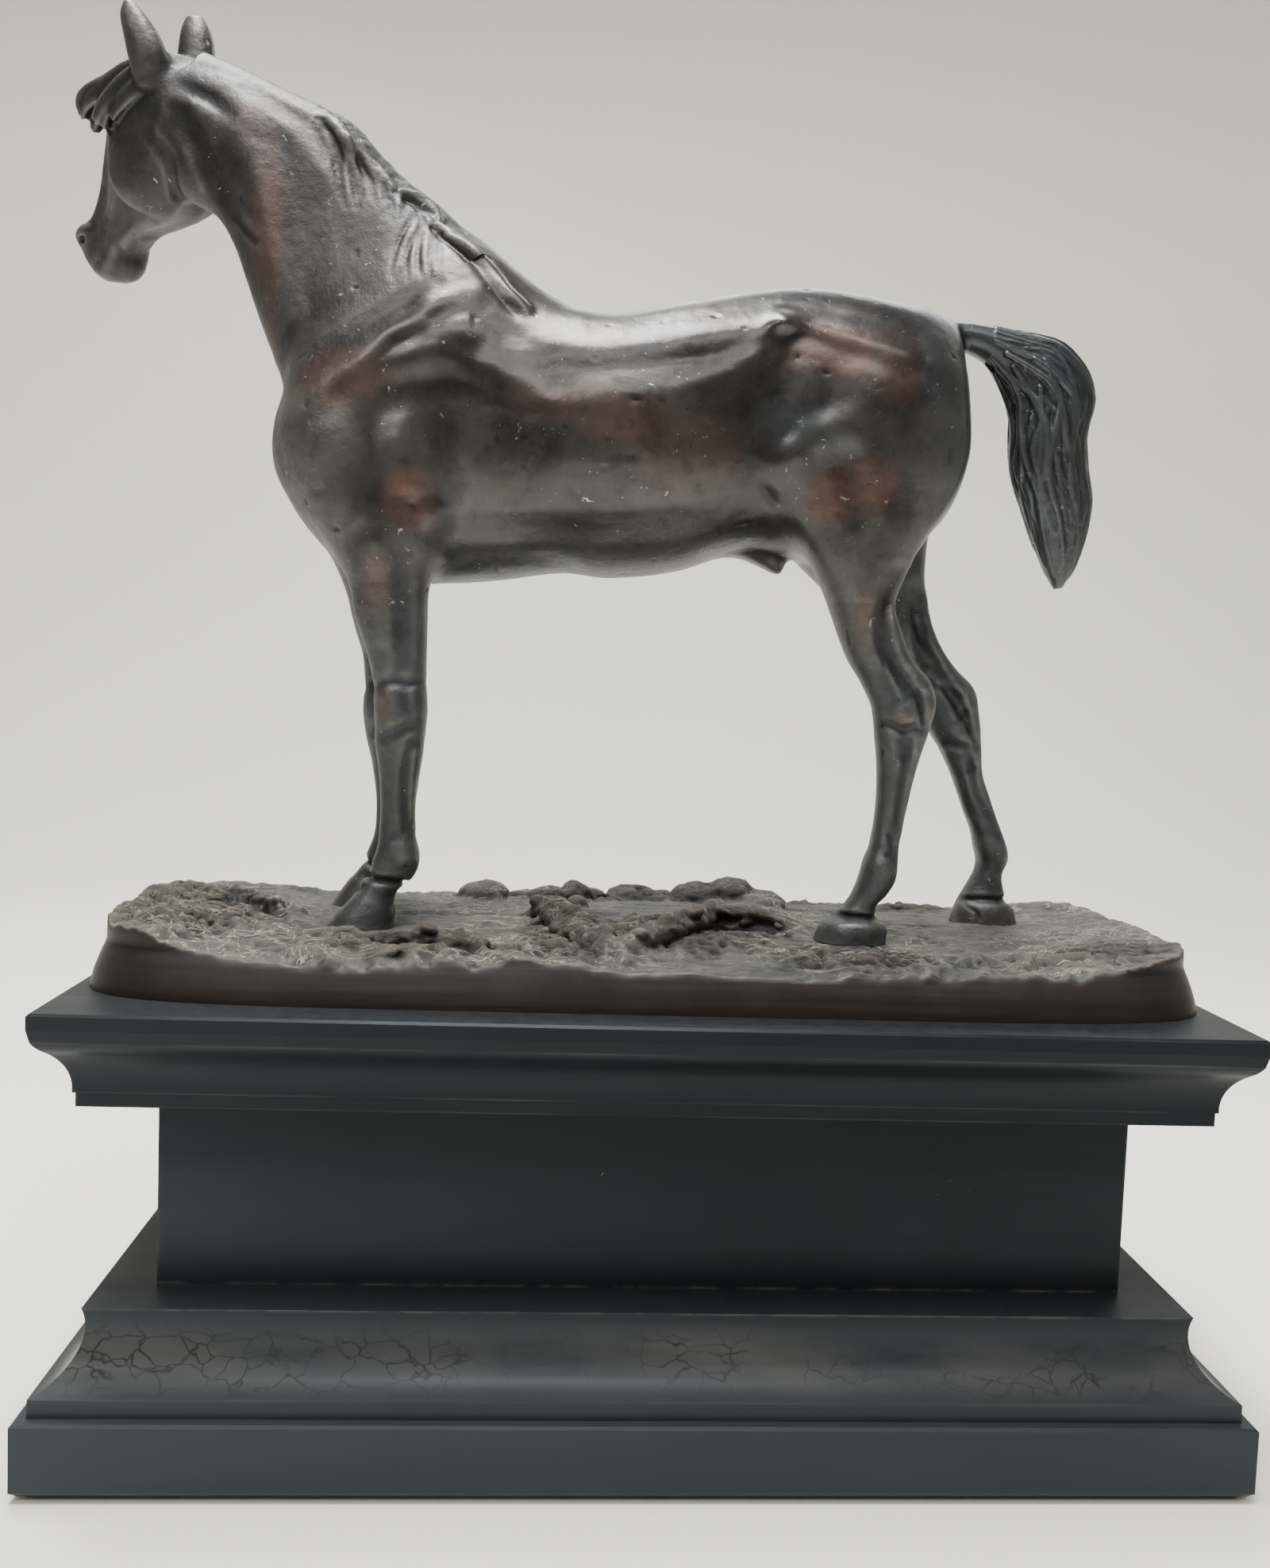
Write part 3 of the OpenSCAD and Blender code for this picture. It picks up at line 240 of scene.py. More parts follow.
HINDLEG_LINES = [
    [(48, 232.5, 8, 0.6), (52.5, 221.5, 8, 0.9), (56, 211, 7, 0.5)],  # gaskin
    [(69, 235, 3, 0.6), (64.5, 228, 3, 1), (63, 222, 3, 1.1), (64.5, 214.5, 3, 1), (69, 206, 3, 0.8),
     (72.5, 201.5, 3, 0.6)],  # tendon
    [(62.5, 232.5, 3.5, -0.7), (59.5, 224, 3.5, -1.3), (59.5, 215.5, 3.5, -1.5), (62.5, 208, 3, -1.6),
     (66.5, 203, 2.6, -1.4),
     (69, 199.5, 2.2, -0.9)],  # groove before the tendon
    [(61.5, 207.5, 1.2, 0.5), (63.5, 202, 1.2, 0.6), (65.5, 198.5, 1.2, 0.5)],  # vein
    [(73.5, 199.5, 2.6, 0.7), (74, 196, 2.6, 0.9), (73.5, 193, 2.2, 0.4)],  # point of the hock
    [(70, 200.5, 1.5, -0.8), (71, 196.5, 1.5, -1), (72, 192.5, 1.5, -0.7)],  # beside the point
    [(66.5, 195, 4, 0.8), (68.5, 193, 4, 0.8)],  # hock joint
    [(62, 191.5, 1.8, -0.5), (66, 190, 1.8, -0.9), (69.5, 191, 1.8, -0.7)],  # under the hock joint
    [(67, 187, 3, -0.7), (67.5, 183, 3, -0.7)],  # hollow under the hock
    [(68.5, 185.5, 2, -0.4), (67.5, 176.5, 2, -0.7), (66.5, 167.5, 2, -0.7),
     (65.5, 160, 2, -0.3)],  # splint groove
    [(71.5, 187.5, 2.4, 0.6), (70, 179, 2.4, 0.6), (69, 170, 2.4, 0.5),
     (67.5, 161, 2.4, 0.3)],  # tendon below the hock
    [(61, 152.5, 4, 0.5), (63, 151, 4, 0.5)],  # fetlock
]
HIND_NEAR_LINES = [
    [(64, 161, 1.2, -0.5), (65, 156.5, 1.4, -0.7), (64, 155, 1.4, -0.5)],  # pits above the fetlock
    [(47.5, 137.2, 1.5, -1.5), (55.5, 137.6, 1.5, -1.8),
     (65.5, 137.0, 1.5, -1.6)],  # upper line of the coronet
]
HIND_FAR_LINES = [
    [(97.5, 137.6, 1.5, -1.2), (106, 138.2, 1.5, -1.4), (113.5, 137.4, 1.5, -1.2)],  # coronet
    [(75.5, 227, 1.6, -0.5), (77.5, 220, 1.6, -0.9), (80.5, 215, 1.6, -0.9),
     (85, 209.5, 1.6, -0.5)],  # crease above the hock
    [(83, 207, 1.8, 0.6), (88, 203.5, 1.8, 0.8), (93.5, 201, 1.8, 0.5)],  # hock ridge
    [(83, 204, 1.6, -0.4), (89, 199, 1.6, -0.7), (93.5, 193, 1.6, -0.6)],  # hock groove
    [(87.5, 199, 4, 0.5), (90.5, 192, 4, 0.5)],  # hock side
    [(92.5, 182.5, 2, -0.4), (95, 174, 2, -0.7), (100, 164.5, 2, -0.6)],  # tendon groove
    [(98.5, 136, 0.8, -0.5), (101.5, 134, 0.8, -0.6), (101, 131.5, 0.8, -0.3)],  # crack in the hoof
]
FAR_FORE_SHIFT = (-7.5, 0)  # the far foreleg stands this much further forward than the near one

# Ears, as rows like the body's; tufts and locks as points (x, y, z, radius)
NEAR_EAR = [
    (-150, 358, -141, 357, 1, 3.4), (-151.4, 364, -141, 365, 0, 4.2), (-152.9, 371, -142.8, 371, -0.5, 3.9),
    (-153.9, 376.5, -146.6, 376.5, -0.5, 2.6), (-153.2, 380.6, -150.4, 380.6, -0.5, 1.1),
]
FAR_EAR = [
    (-143, 367, -132, 365, 12, 3), (-142.6, 373, -131.8, 372, 14, 4.0), (-142, 380, -133, 379.4, 15, 3.6),
    (-140.6, 384.6, -135.8, 384.8, 15.5, 1.8),
]
FORELOCK = [
    [(-142, 6, 366, 3.4), (-149, 8, 366, 3.8), (-156, 10, 364.5, 3.4), (-162, 12.5, 361.5, 2.8),
     (-167, 14.5, 358.5, 2.4), (-169, 15.2, 355, 1.8)],
    [(-143, 3, 363, 3.6), (-150, 4.5, 362, 3.8), (-156, 7, 359.5, 3.4), (-161, 9.5, 356, 2.8),
     (-164, 11.5, 352.5, 1.8)],
    [(-144, 1, 360, 3.0), (-149.5, 2.5, 358.5, 3.2), (-154, 4.5, 355.5, 2.6), (-158, 7, 352, 1.6)],
    [(-145, 9, 364, 3.6), (-152, 12, 363, 3.8), (-158.5, 14, 360, 3.2), (-164, 16, 356, 2.4),
     (-166.5, 17, 352, 1.5)],
    [(-141, 2, 358, 2.4), (-145.5, 1.5, 355.5, 2.2), (-149, 2.5, 352.5, 1.6), (-151, 4.5, 350, 0.8)],
    [(-147, 6, 366.4, 2.0), (-155, 8.5, 366, 2.0), (-161, 11, 363.8, 1.8), (-166, 13.5, 362.6, 1.7),
     (-169.2, 15, 360.4, 1.8), (-169.8, 15.6, 357, 1.4)],
    [(-152, 5, 361, 1.8), (-157.5, 7, 356.5, 1.8), (-160.5, 9, 352.5, 1.3), (-161.5, 11, 350.5, 0.9)],
]
# Locks that lie on the near side of the neck, as (x, z, radius)
MANE_LOCKS = [
    [(-98, 351.5, 1.4), (-94.5, 348.5, 2.6), (-91.8, 343, 2.2), (-91, 336, 1.7), (-89.5, 329, 1.4),
     (-87.5, 323, 0.7)],
    [(-95, 349, 1.2), (-91, 344.5, 2.0), (-88.8, 337.5, 1.6), (-87.6, 331, 1.2), (-87.4, 325, 0.6)],
    [(-99.5, 349.5, 1.0), (-96, 344, 1.7), (-93.8, 337.5, 1.2), (-92.4, 330, 0.7)],
    [(-91, 344.5, 1.2), (-86, 340, 2.0), (-81, 335, 2.0), (-78.5, 329, 1.1)],
    [(-86, 339.5, 1.0), (-82.5, 334, 1.7), (-81, 327.5, 0.9)],
    [(-79, 334, 1.0), (-76.5, 328.5, 1.5), (-76.5, 322.5, 0.7)],
    [(-76, 331.5, 1.4), (-71.5, 330, 2.6), (-67.5, 327, 2.6), (-65.8, 323, 1.8)],
    [(-69.5, 325.5, 1.6), (-71.8, 319.5, 1.8), (-74, 313, 1.5), (-75.5, 305.5, 0.7)],
    [(-68.6, 325, 1.5), (-70, 318, 1.5), (-71, 310.5, 1.2), (-70.6, 303, 0.6)],
    [(-67.6, 324, 1.5), (-68, 317, 1.6), (-67.6, 309.5, 1.3), (-66, 301, 0.6)],
    [(-66.2, 322.5, 1.4), (-66, 315.5, 1.4), (-65.2, 308.5, 1.1), (-64.2, 301.5, 0.5)],
    [(-66, 322, 1.8), (-60.5, 318.5, 2.2), (-55.5, 313.5, 2.0), (-51.5, 308, 1.7), (-49, 303.5, 1.0)],
    [(-63, 319.5, 1.6), (-56, 314.5, 2.0), (-50, 308.5, 2.0), (-46, 303, 2.2), (-42, 299, 2.5),
     (-40, 296.5, 1.8)],
]

# ---------------------------------------------------------------------------
# Distance blocks: a small sculpting kit
# ---------------------------------------------------------------------------
def spline(points, steps):
    """Points on a smooth curve through the given ones (any number of columns)."""
    p = np.asarray(points, float)
    q = np.vstack([p[:1], p, p[-1:]])
    out = []
    for i in range(len(p) - 1):
        a, b, c, d = q[i], q[i + 1], q[i + 2], q[i + 3]
        for j in range(steps):
            t = j / steps
            out.append(0.5 * (2 * b + (c - a) * t + (2 * a - 5 * b + 4 * c - d) * t**2
                              + (3 * b - a - 3 * c + d) * t**3))
    out.append(p[-1])
    return np.array(out)


def skin(rings):
    """Points and faces of a closed body through rings of points."""
    rings = np.asarray(rings, float)
    count, n = rings.shape[:2]
    points = np.vstack([rings.reshape(-1, 3), rings[0].mean(0)[None], rings[-1].mean(0)[None]])
    first, last = count * n, count * n + 1
    quads, tris = [], []
    for j in range(n):
        k = (j + 1) % n
        tris += [(first, k, j), (last, (count - 1) * n + j, (count - 1) * n + k)]
        quads += [(i * n + j, i * n + k, i * n + n + k, i * n + n + j) for i in range(count - 1)]
    return points, np.array(tris), np.array(quads)


def outward(points, tris, quads):
    """Turns the faces round if the body is inside out."""
    all_tris = np.vstack([tris, quads[:, [0, 1, 2]], quads[:, [0, 2, 3]]])
    a, b, c = (points[all_tris[:, i]] for i in range(3))
    if np.einsum("ij,ij->i", a, np.cross(b, c)).sum() < 0:
        tris, quads = tris[:, ::-1], quads[:, ::-1]
    return points, np.ascontiguousarray(tris), np.ascontiguousarray(quads)


def bent(v, power=0.88):
    return np.sign(v) * np.abs(v) ** power


def loft(rows, sides=56, steps=7, square=0.88, turn=None):
    """A body through a table's rings."""
    r = spline(rows, steps)
    angle = np.linspace(0, 2 * math.pi, sides, endpoint=False)
    c, s = bent(np.cos(angle), square), bent(np.sin(angle), square)
    middle = np.stack([(r[:, 0] + r[:, 2]) / 2, r[:, 4], (r[:, 1] + r[:, 3]) / 2], 1)
    reach = np.stack([(r[:, 0] - r[:, 2]) / 2, 0 * r[:, 0], (r[:, 1] - r[:, 3]) / 2], 1)
    rings = middle[:, None] + reach[:, None] * c[None, :, None]
    rings[:, :, 1] += np.abs(r[:, 5])[:, None] * s[None]
    return outward(*skin(rings if turn is None else turn(rings)))


def tube(path, sides=14, flat=1.0, steps=5, up=(0, 1, 0)):
    """A tapering round or flattened body along points (x, y, z, radius)."""
    p = spline(path, steps)
    run = np.gradient(p[:, :3], axis=0)
    run /= np.linalg.norm(run, axis=1)[:, None]
    side = np.cross(run, np.array(up, float))
    side /= np.maximum(np.linalg.norm(side, axis=1)[:, None], 1e-6)
    over = np.cross(side, run)
    angle = np.linspace(0, 2 * math.pi, sides, endpoint=False)
    r = np.maximum(p[:, 3], 0.12)[:, None, None]
    rings = p[:, None, :3] + r * (side[:, None] * np.cos(angle)[None, :, None]
                                  + flat * over[:, None] * np.sin(angle)[None, :, None])
    return outward(*skin(rings))


class Clay:
    """A block of signed distances in millimetres, negative inside the form."""

    def __init__(self, low, high, step):
        self.step = step
        self.start = np.floor(np.array(low, float) / step).astype(int)
        end = np.ceil(np.array(high, float) / step).astype(int)
        self.shape = tuple(int(v) for v in end - self.start + 1)
        self.d = np.full(self.shape, BAND, np.float32)
        self.axes = [(self.start[i] + np.arange(self.shape[i])) * step for i in range(3)]

    def part(self, low, high):
        """The part of the block within a box, as slices with its coordinates, or None if there is none."""
        cut = []
        for i in range(3):
            a = max(0, int(np.ceil(low[i] / self.step)) - self.start[i])
            b = min(self.shape[i], int(np.floor(high[i] / self.step)) - self.start[i] + 1)
            if b - a < 1:
                return None
            cut.append(slice(a, b))
        x, y, z = (self.axes[i][cut[i]].astype(np.float32) for i in range(3))
        return tuple(cut), x[:, None, None], y[None, :, None], z[None, None, :]

    def add(self, body, soft=0.0, hollow=False):
        """Melts a closed body into the form, or carves it out."""
        points, tris, quads = body
        low, high = points.min(0) - BAND, points.max(0) + BAND
        found = self.part(low, high)
        if found is None:
            return
        cut = found[0]
        grid = openvdb.FloatGrid.createLevelSetFromPolygons(
            np.ascontiguousarray(points, np.float32), np.ascontiguousarray(tris, np.uint32),
            np.ascontiguousarray(quads, np.uint32),
            openvdb.createLinearTransform(self.step), BAND / self.step)
        shape = [s.stop - s.start for s in cut]
        found_d = np.empty(shape, np.float32)
        grid.copyToArray(found_d, ijk=tuple(int(self.start[i] + cut[i].start) for i in range(3)))
        if hollow:
            self.d[cut] = -melt(-self.d[cut], found_d, soft)
        else:
            self.d[cut] = melt(self.d[cut], found_d, soft)

    def ball(self, at, radii, soft=1.0, turn=0.0, hollow=False):
        """Melts in an ellipsoid, turned about y."""
        at, radii = np.array(at, float), np.array(radii, float)
        far = radii.max() + BAND
        found = self.part(at - far, at + far)
        if found is None:
            return
        cut, x, y, z = found
        c, s = math.cos(math.radians(turn)), math.sin(math.radians(turn))
        u, v, w = (x - at[0]) * c + (z - at[2]) * s, y - at[1], (z - at[2]) * c - (x - at[0]) * s
        k0 = np.sqrt((u / radii[0]) ** 2 + (v / radii[1]) ** 2 + (w / radii[2]) ** 2)
        k1 = np.sqrt((u / radii[0] ** 2) ** 2 + (v / radii[1] ** 2) ** 2 + (w / radii[2] ** 2) ** 2)
        ball_d = np.clip(k0 * (k0 - 1) / np.maximum(k1, 1e-6), -BAND, BAND).astype(np.float32)
        self.d[cut] = -melt(-self.d[cut], ball_d, soft) if hollow else melt(self.d[cut], ball_d, soft)

    def side_of(self, y, side, middle, reach=3.0):
        """1 on one side of the form and 0 on the other: side -1 is the near one, 0 both."""
        if side == 0:
            return 1.0
        return np.clip(0.5 + side * (y - middle) / (2 * reach), 0, 1)

    def swell(self, at, half, height, turn=0.0, side=-1, middle=0.0, power=2, ys=(-999, 999)):
        """Raises (or with a minus sinks) an oval seen from the side."""
        far = max(half)
        found = self.part((at[0] - far, ys[0], at[1] - far), (at[0] + far, ys[1], at[1] + far))
        if found is None:
            return
        cut, x, y, z = found
        c, s = math.cos(math.radians(turn)), math.sin(math.radians(turn))
        u, w = ((x - at[0]) * c + (z - at[1]) * s) / half[0], ((z - at[1]) * c - (x - at[0]) * s) / half[1]
        fade = np.clip(1 - u * u - w * w, 0, None) ** power
        self.d[cut] -= (height * fade * self.side_of(y, side, middle)).astype(np.float32)

    def stroke(self, line, side=-1, middle=0.0, power=1.6, steps=4, ys=(-999, 999)):
        """Raises or sinks a line seen from the side: points (x, z, width, height)."""
        p = spline(line, steps)
        p[:, 2] = np.maximum(p[:, 2], 0.3)
        wide = p[:, 2].max()
        found = self.part((p[:, 0].min() - wide, ys[0], p[:, 1].min() - wide),
                          (p[:, 0].max() + wide, ys[1], p[:, 1].max() + wide))
        if found is None:
            return
        cut, x, y, z = found
        best = np.zeros((x.shape[0], 1, z.shape[2]), np.float32)
        for a, b in zip(p[:-1], p[1:]):
            dx, dz = b[0] - a[0], b[1] - a[1]
            t = np.clip(((x - a[0]) * dx + (z - a[1]) * dz) / max(dx * dx + dz * dz, 1e-9), 0, 1)
            gap = (x - a[0] - t * dx) ** 2 + (z - a[1] - t * dz) ** 2
            width, height = a[2] + t * (b[2] - a[2]), a[3] + t * (b[3] - a[3])
            value = height * np.clip(1 - gap / width**2, 0, None) ** power
            best = np.where(np.abs(value) > np.abs(best), value, best)
        self.d[cut] -= (best * self.side_of(y, side, middle)).astype(np.float32)

    def line(self, points, power=1.6, steps=4):
        """Raises or sinks a line in space: points (x, y, z, width, height)."""
        p = spline(points, steps)
        p[:, 3] = np.maximum(p[:, 3], 0.3)
        wide = p[:, 3].max()
        found = self.part(p[:, :3].min(0) - wide, p[:, :3].max(0) + wide)
        if found is None:
            return
        cut, x, y, z = found
        best = np.zeros(np.broadcast_shapes(x.shape, y.shape, z.shape), np.float32)
        for a, b in zip(p[:-1], p[1:]):
            r = b[:3] - a[:3]
            t = np.clip(
                ((x - a[0]) * r[0] + (y - a[1]) * r[1] + (z - a[2]) * r[2]) / max(r @ r, 1e-9), 0, 1)
            gap = (x - a[0] - t * r[0]) ** 2 + (y - a[1] - t * r[1]) ** 2 + (z - a[2] - t * r[2]) ** 2
            width, height = a[3] + t * (b[3] - a[3]), a[4] + t * (b[4] - a[4])
            value = height * np.clip(1 - gap / width**2, 0, None) ** power
            best = np.where(np.abs(value) > np.abs(best), value, best)
        self.d[cut] -= best

    def ease(self, times=1):
        """Softens the whole form a little."""
        for _ in range(times):
            for i in range(3):
                a = np.moveaxis(self.d, i, 0)
                a[1:-1] = (a[:-2] + 2 * a[1:-1] + a[2:]) / 4

    def mesh(self):
        """Points in millimetres and four-cornered faces of the form's surface."""
        grid = openvdb.FloatGrid(BAND)
        grid.copyFromArray(self.d, ijk=tuple(int(v) for v in self.start))
        grid.transform = openvdb.createLinearTransform(self.step)
        return grid.convertToQuads()


def melt(a, b, soft):
    """The union of two forms, rounded where they meet."""
    if soft <= 0:
        return np.minimum(a, b)
    h = np.clip(0.5 + 0.5 * (b - a) / soft, 0, 1)
    return b + (a - b) * h - soft * h * (1 - h)


# ---------------------------------------------------------------------------
# The horse
# ---------------------------------------------------------------------------
def head_frame():
    """Axes of the head: down the face, out of the forehead, and to its left side."""
    turn, slope, lean = (math.radians(v) for v in (HEAD_TURN, HEAD_SLOPE, HEAD_LEAN))
    axis = Vector((-math.cos(slope), 0, -math.sin(slope)))
    spin = Matrix.Rotation(-turn, 3, "Z") @ Matrix.Rotation(-lean, 3, axis)
    down = spin @ axis
    out = spin @ Vector((-math.sin(slope), 0, math.cos(slope)))
    left = spin @ Vector((0, -1, 0))
    return [np.array(v) for v in (down, out, left)]


DOWN, OUT, LEFT = head_frame()


def on_head(s, t, left):
    """A place by distance down the face, height out of it, and distance to the left."""
    return POLL + DOWN * s + OUT * t + LEFT * left


def head_body():
    r = spline(HEAD, 7)
    angle = np.linspace(0, 2 * math.pi, 56, endpoint=False)
    c, s = bent(np.cos(angle), 0.84), bent(np.sin(angle), 0.84)
    rings = []
    for row in r:
        mid, half = (row[1] + row[2]) / 2, (row[1] - row[2]) / 2
        rings.append([on_head(row[0], mid + half * a, row[3] * b) for a, b in zip(c, s)])
    return outward(*skin(rings))


def on_surface(clay, x, z, fallback):
    """The near side's y at a place seen from the side, or the fallback if the form isn't there."""
    i, k = (int(round(v / clay.step)) - clay.start[a] for v, a in ((x, 0), (z, 2)))
    if not (0 <= i < clay.shape[0] and 0 <= k < clay.shape[2]):
        return fallback
    inside = np.flatnonzero(clay.d[i, :, k] < 0)
    return float(clay.axes[1][inside[0]]) if len(inside) else fallback


def lay_lock(clay, path, fallback, lift=0.45, soft=0.45):
    """A lock of hair laid on the near side, split into strands by fine grooves."""
    ys = [on_surface(clay, x, z, fallback) for x, z, r in path]
    body = [(x, y + r * (0.6 - lift), z, r) for (x, z, r), y in zip(path, ys)]
    for side in (-1.25, 1.25):
        clay.line([(x + side * r, y - 0.4 * r, z + 0.3 * side * r, max(0.9, 0.7 * r), -0.45 * r)
                   for x, y, z, r in body])
    clay.add(tube(body, 16, 0.85, 6), soft)
    for shift in (-0.5, 0.0, 0.5):
        clay.line([(x + shift * r, y - r * (0.85 - 0.3 * abs(shift)), z + 0.3 * shift * r,
                    max(0.6, 0.3 * r), -0.32 * r) for x, y, z, r in body])


def add_head(clay):
    clay.add(head_body(), 3)
    for side in (-1, 1):
        def at(s, t, l):
            return on_head(s, t, l * side)
        # round cheek, eye and brow
        clay.ball(at(24, -12.5, 6.8), (11.5, 6.4, 12.0), 3.5)
        clay.line([(*at(17, 4, 12), 5.5, 1.2), (*at(12, 1, 13), 5, 0.6)])
        clay.ball(at(20.5, 3.5, 10.4), (3.6, 3.0, 3.4), 1.0, hollow=True)
        clay.ball(at(20.5, 3.2, 10.0), (2.9, 2.6, 2.8), 0.4)
        clay.line([(*at(16, 6, 11), 2.2, 0.9), (*at(20, 7.4, 11.4), 2.4, 1.1),
                   (*at(24.5, 5.5, 10.6), 2, 0.7)])
        clay.line([(*at(17, 1.4, 12), 1.2, -0.5), (*at(21, 0, 12), 1.2, -0.6),
                   (*at(25, 1.6, 11), 1.0, -0.4)])
        # facial crest, hollow above it, and the groove along the jaw
        clay.line([(*at(25, -2, 12.4), 3, 0.7), (*at(32, -3.5, 11), 3, 1.3), (*at(40, -3.6, 9.6), 3, 1.0),
                   (*at(46, -3, 8.4), 2.5, 0.4)])
        clay.line([(*at(29, 5, 10.4), 5, -0.9), (*at(38, 3.4, 9.4), 5, -1.3), (*at(48, 2.6, 8), 4.5, -0.9),
                   (*at(55, 3, 7.6), 3.5, -0.4)])
        clay.line([(*at(31, -12, 11), 4, -0.5), (*at(38, -10.5, 9.8), 4.5, -0.9), (*at(46, -8, 8), 4, -0.6),
                   (*at(52, -6, 7.4), 3, -0.2)])
        clay.line([(*at(36, -19, 6), 3, 0.6), (*at(44, -13.6, 5.4), 3, 0.7), (*at(52, -10, 5), 2.6, 0.4)])
        clay.line([(*at(12, -14, 12), 3, -0.4), (*at(14, -22, 9.4), 3, -0.9), (*at(22, -26, 6), 3, -0.6)])
        # nostril, lips and the corner of the mouth
        clay.ball(at(59.5, 3.2, 4.4), (6.4, 3.8, 4.2), 2.6)
        clay.line([(*at(55.5, 4, 8.2), 1.4, 0.4), (*at(59.5, 6.4, 7.8), 1.5, 0.6),
                   (*at(63.5, 5.2, 7.2), 1.4, 0.6), (*at(66, 1.6, 6.4), 1.4, 0.5)])
        clay.ball(at(61.0, 3.8, 8.4), (1.9, 1.3, 1.0), 0.7, hollow=True)
        clay.line([(*at(69.4, -2.8, 3), 0.9, -0.5), (*at(66.5, -3.6, 7.0), 0.9, -0.7),
                   (*at(61.5, -4.4, 8.6), 0.9, -0.7), (*at(56.5, -4.6, 8.2), 0.9, -0.5)])
        clay.line([(*at(66, -7, 6.4), 3, 0.5), (*at(61, -8.4, 7), 3, 0.6), (*at(56, -8.6, 7), 3, 0.4)])
    clay.ball(on_head(60.5, -6.4, 0), (6.4, 4.2, 6.2), 2.4)
    clay.line([(*on_head(8, 10.5, 0), 6, 0.6), (*on_head(20, 12.6, 0), 7, 0.6),
               (*on_head(34, 12, 0), 5, 0.8), (*on_head(48, 9.4, 0), 4, 0.6)])
    clay.line([(*on_head(26, -27, 0), 5, -1.6), (*on_head(36, -22, 0), 4.5, -1.8),
               (*on_head(46, -14, 0), 4, -1.2)])
    for rows in (NEAR_EAR, FAR_EAR):
        clay.add(loft(rows, 32, 8, 1.0), 1.6)
        low, mid, top = (np.array([(r[0] + r[2]) / 2, r[4], (r[1] + r[3]) / 2])
                         for r in (rows[1], rows[2], rows[-1]))
        away = (DOWN + OUT) * np.array([1, 1, 0])
        away = away / np.linalg.norm(away) * 3.2
        clay.add(tube([(*(low + away * 1.0), 1.4), (*(mid + away * 1.0), 2.4),
                       (*(0.35 * mid + 0.65 * top + away * 0.9), 1.3), (*(top + away * 0.7), 0.4)], 16),
                 0.6, True)
    for tuft in FORELOCK:
        clay.add(tube(tuft, 14, 0.8, 6), 0.9)
        for shift in (-0.8, -0.35, 0.1, 0.55):
            clay.add(tube([(x, y - 0.72 * r, z + shift * r, 0.32 * r) for x, y, z, r in tuft], 8, 1.0, 4),
                     0.2)


def tail_ring(row, angle):
    middle = np.array([(row[0] + row[2]) / 2, row[4], (row[1] + row[3]) / 2])
    reach = np.array([(row[0] - row[2]) / 2, 0, (row[1] - row[3]) / 2])
    return middle + reach * math.cos(angle) + np.array([0, row[5] * math.sin(angle), 0])


def add_tail(clay):
    clay.add(loft(TAIL, square=0.92), 2)
    rows = spline(TAIL, 2)
    dice = np.random.RandomState(7)
    for layer, count in enumerate((40, 90)):
        for n in range(count):
            start, end = dice.randint(4, 13), len(rows) - dice.randint(1, 6)
            angle, drift, wave = 2 * math.pi * n / count, dice.uniform(-0.5, 0.5), dice.uniform(0, 6.28)
            thick = dice.uniform(0.75, 1.1) * (1.25 - 0.65 * layer)
            path = []
            for k in range(start, end):
                t = (k - start) / max(1, end - 1 - start)
                spot = tail_ring(rows[k], angle + drift * t + 0.14 * math.sin(3 * t * math.pi + wave))
                path.append((*spot,
                             thick * (0.35 + 0.65 * math.sin(math.pi * min(1, 0.12 + 0.88 * t)) ** 0.7)))
            clay.add(tube(path[::2] + [path[-1]], 8, 0.9, 3), 0.2)


def add_legs(clay):
    """Relief of the legs. Each table is for the near leg, and is reused on the far one with a shift."""
    near, far = (-999, 0), (0, 999)
    shift_x, shift_z = FAR_FORE_SHIFT
    for line in FORELEG_LINES + PASTERN_LINES:
        clay.stroke(line, 0, ys=near)
        clay.stroke([(x + shift_x, z + shift_z, w, h) for x, z, w, h in line], 0, ys=far)
    for line in HINDLEG_LINES:
        clay.stroke(line, 0, ys=near)
        clay.stroke([(*hind_far_place(x, z), w, h) for x, z, w, h in line], 0, ys=far)
    for line in HIND_NEAR_LINES:
        clay.stroke(line, -1, -20, ys=near)
    for line in HIND_FAR_LINES:
        clay.stroke(line, -1, 17, ys=far)
    # bulbs of the heels and the front edges of the knees
    for x, y, z in ((-72.5, -16, 133), (-78, 20, 133), (65, -20, 133), (113.4, 17, 133)):
        clay.line([(x - 3, y - 3.4, z, 2.6, 0.5), (x, y - 3, z + 1, 2.4, 0.6)])
        clay.line([(x - 3, y + 3.4, z, 2.6, 0.5), (x, y + 3, z + 1, 2.4, 0.6)])
        clay.line([(x + 1, y, z + 3, 1.8, -0.7), (x + 0.6, y, z - 2, 1.8, -0.7)])


def hind_far_place(x, z):
    """Where a place on the near hind leg is on the far one, by height."""
    near, far = spline(HIND_NEAR, 2), spline(HIND_FAR, 2)
    i = int(np.abs((near[:, 1] + near[:, 3]) / 2 - z).argmin())
    a, b = near[i], far[i]
    t = (x - a[0]) / max(a[2] - a[0], 1)
    return b[0] + t * (b[2] - b[0]), z + ((b[1] + b[3]) - (a[1] + a[3])) / 2


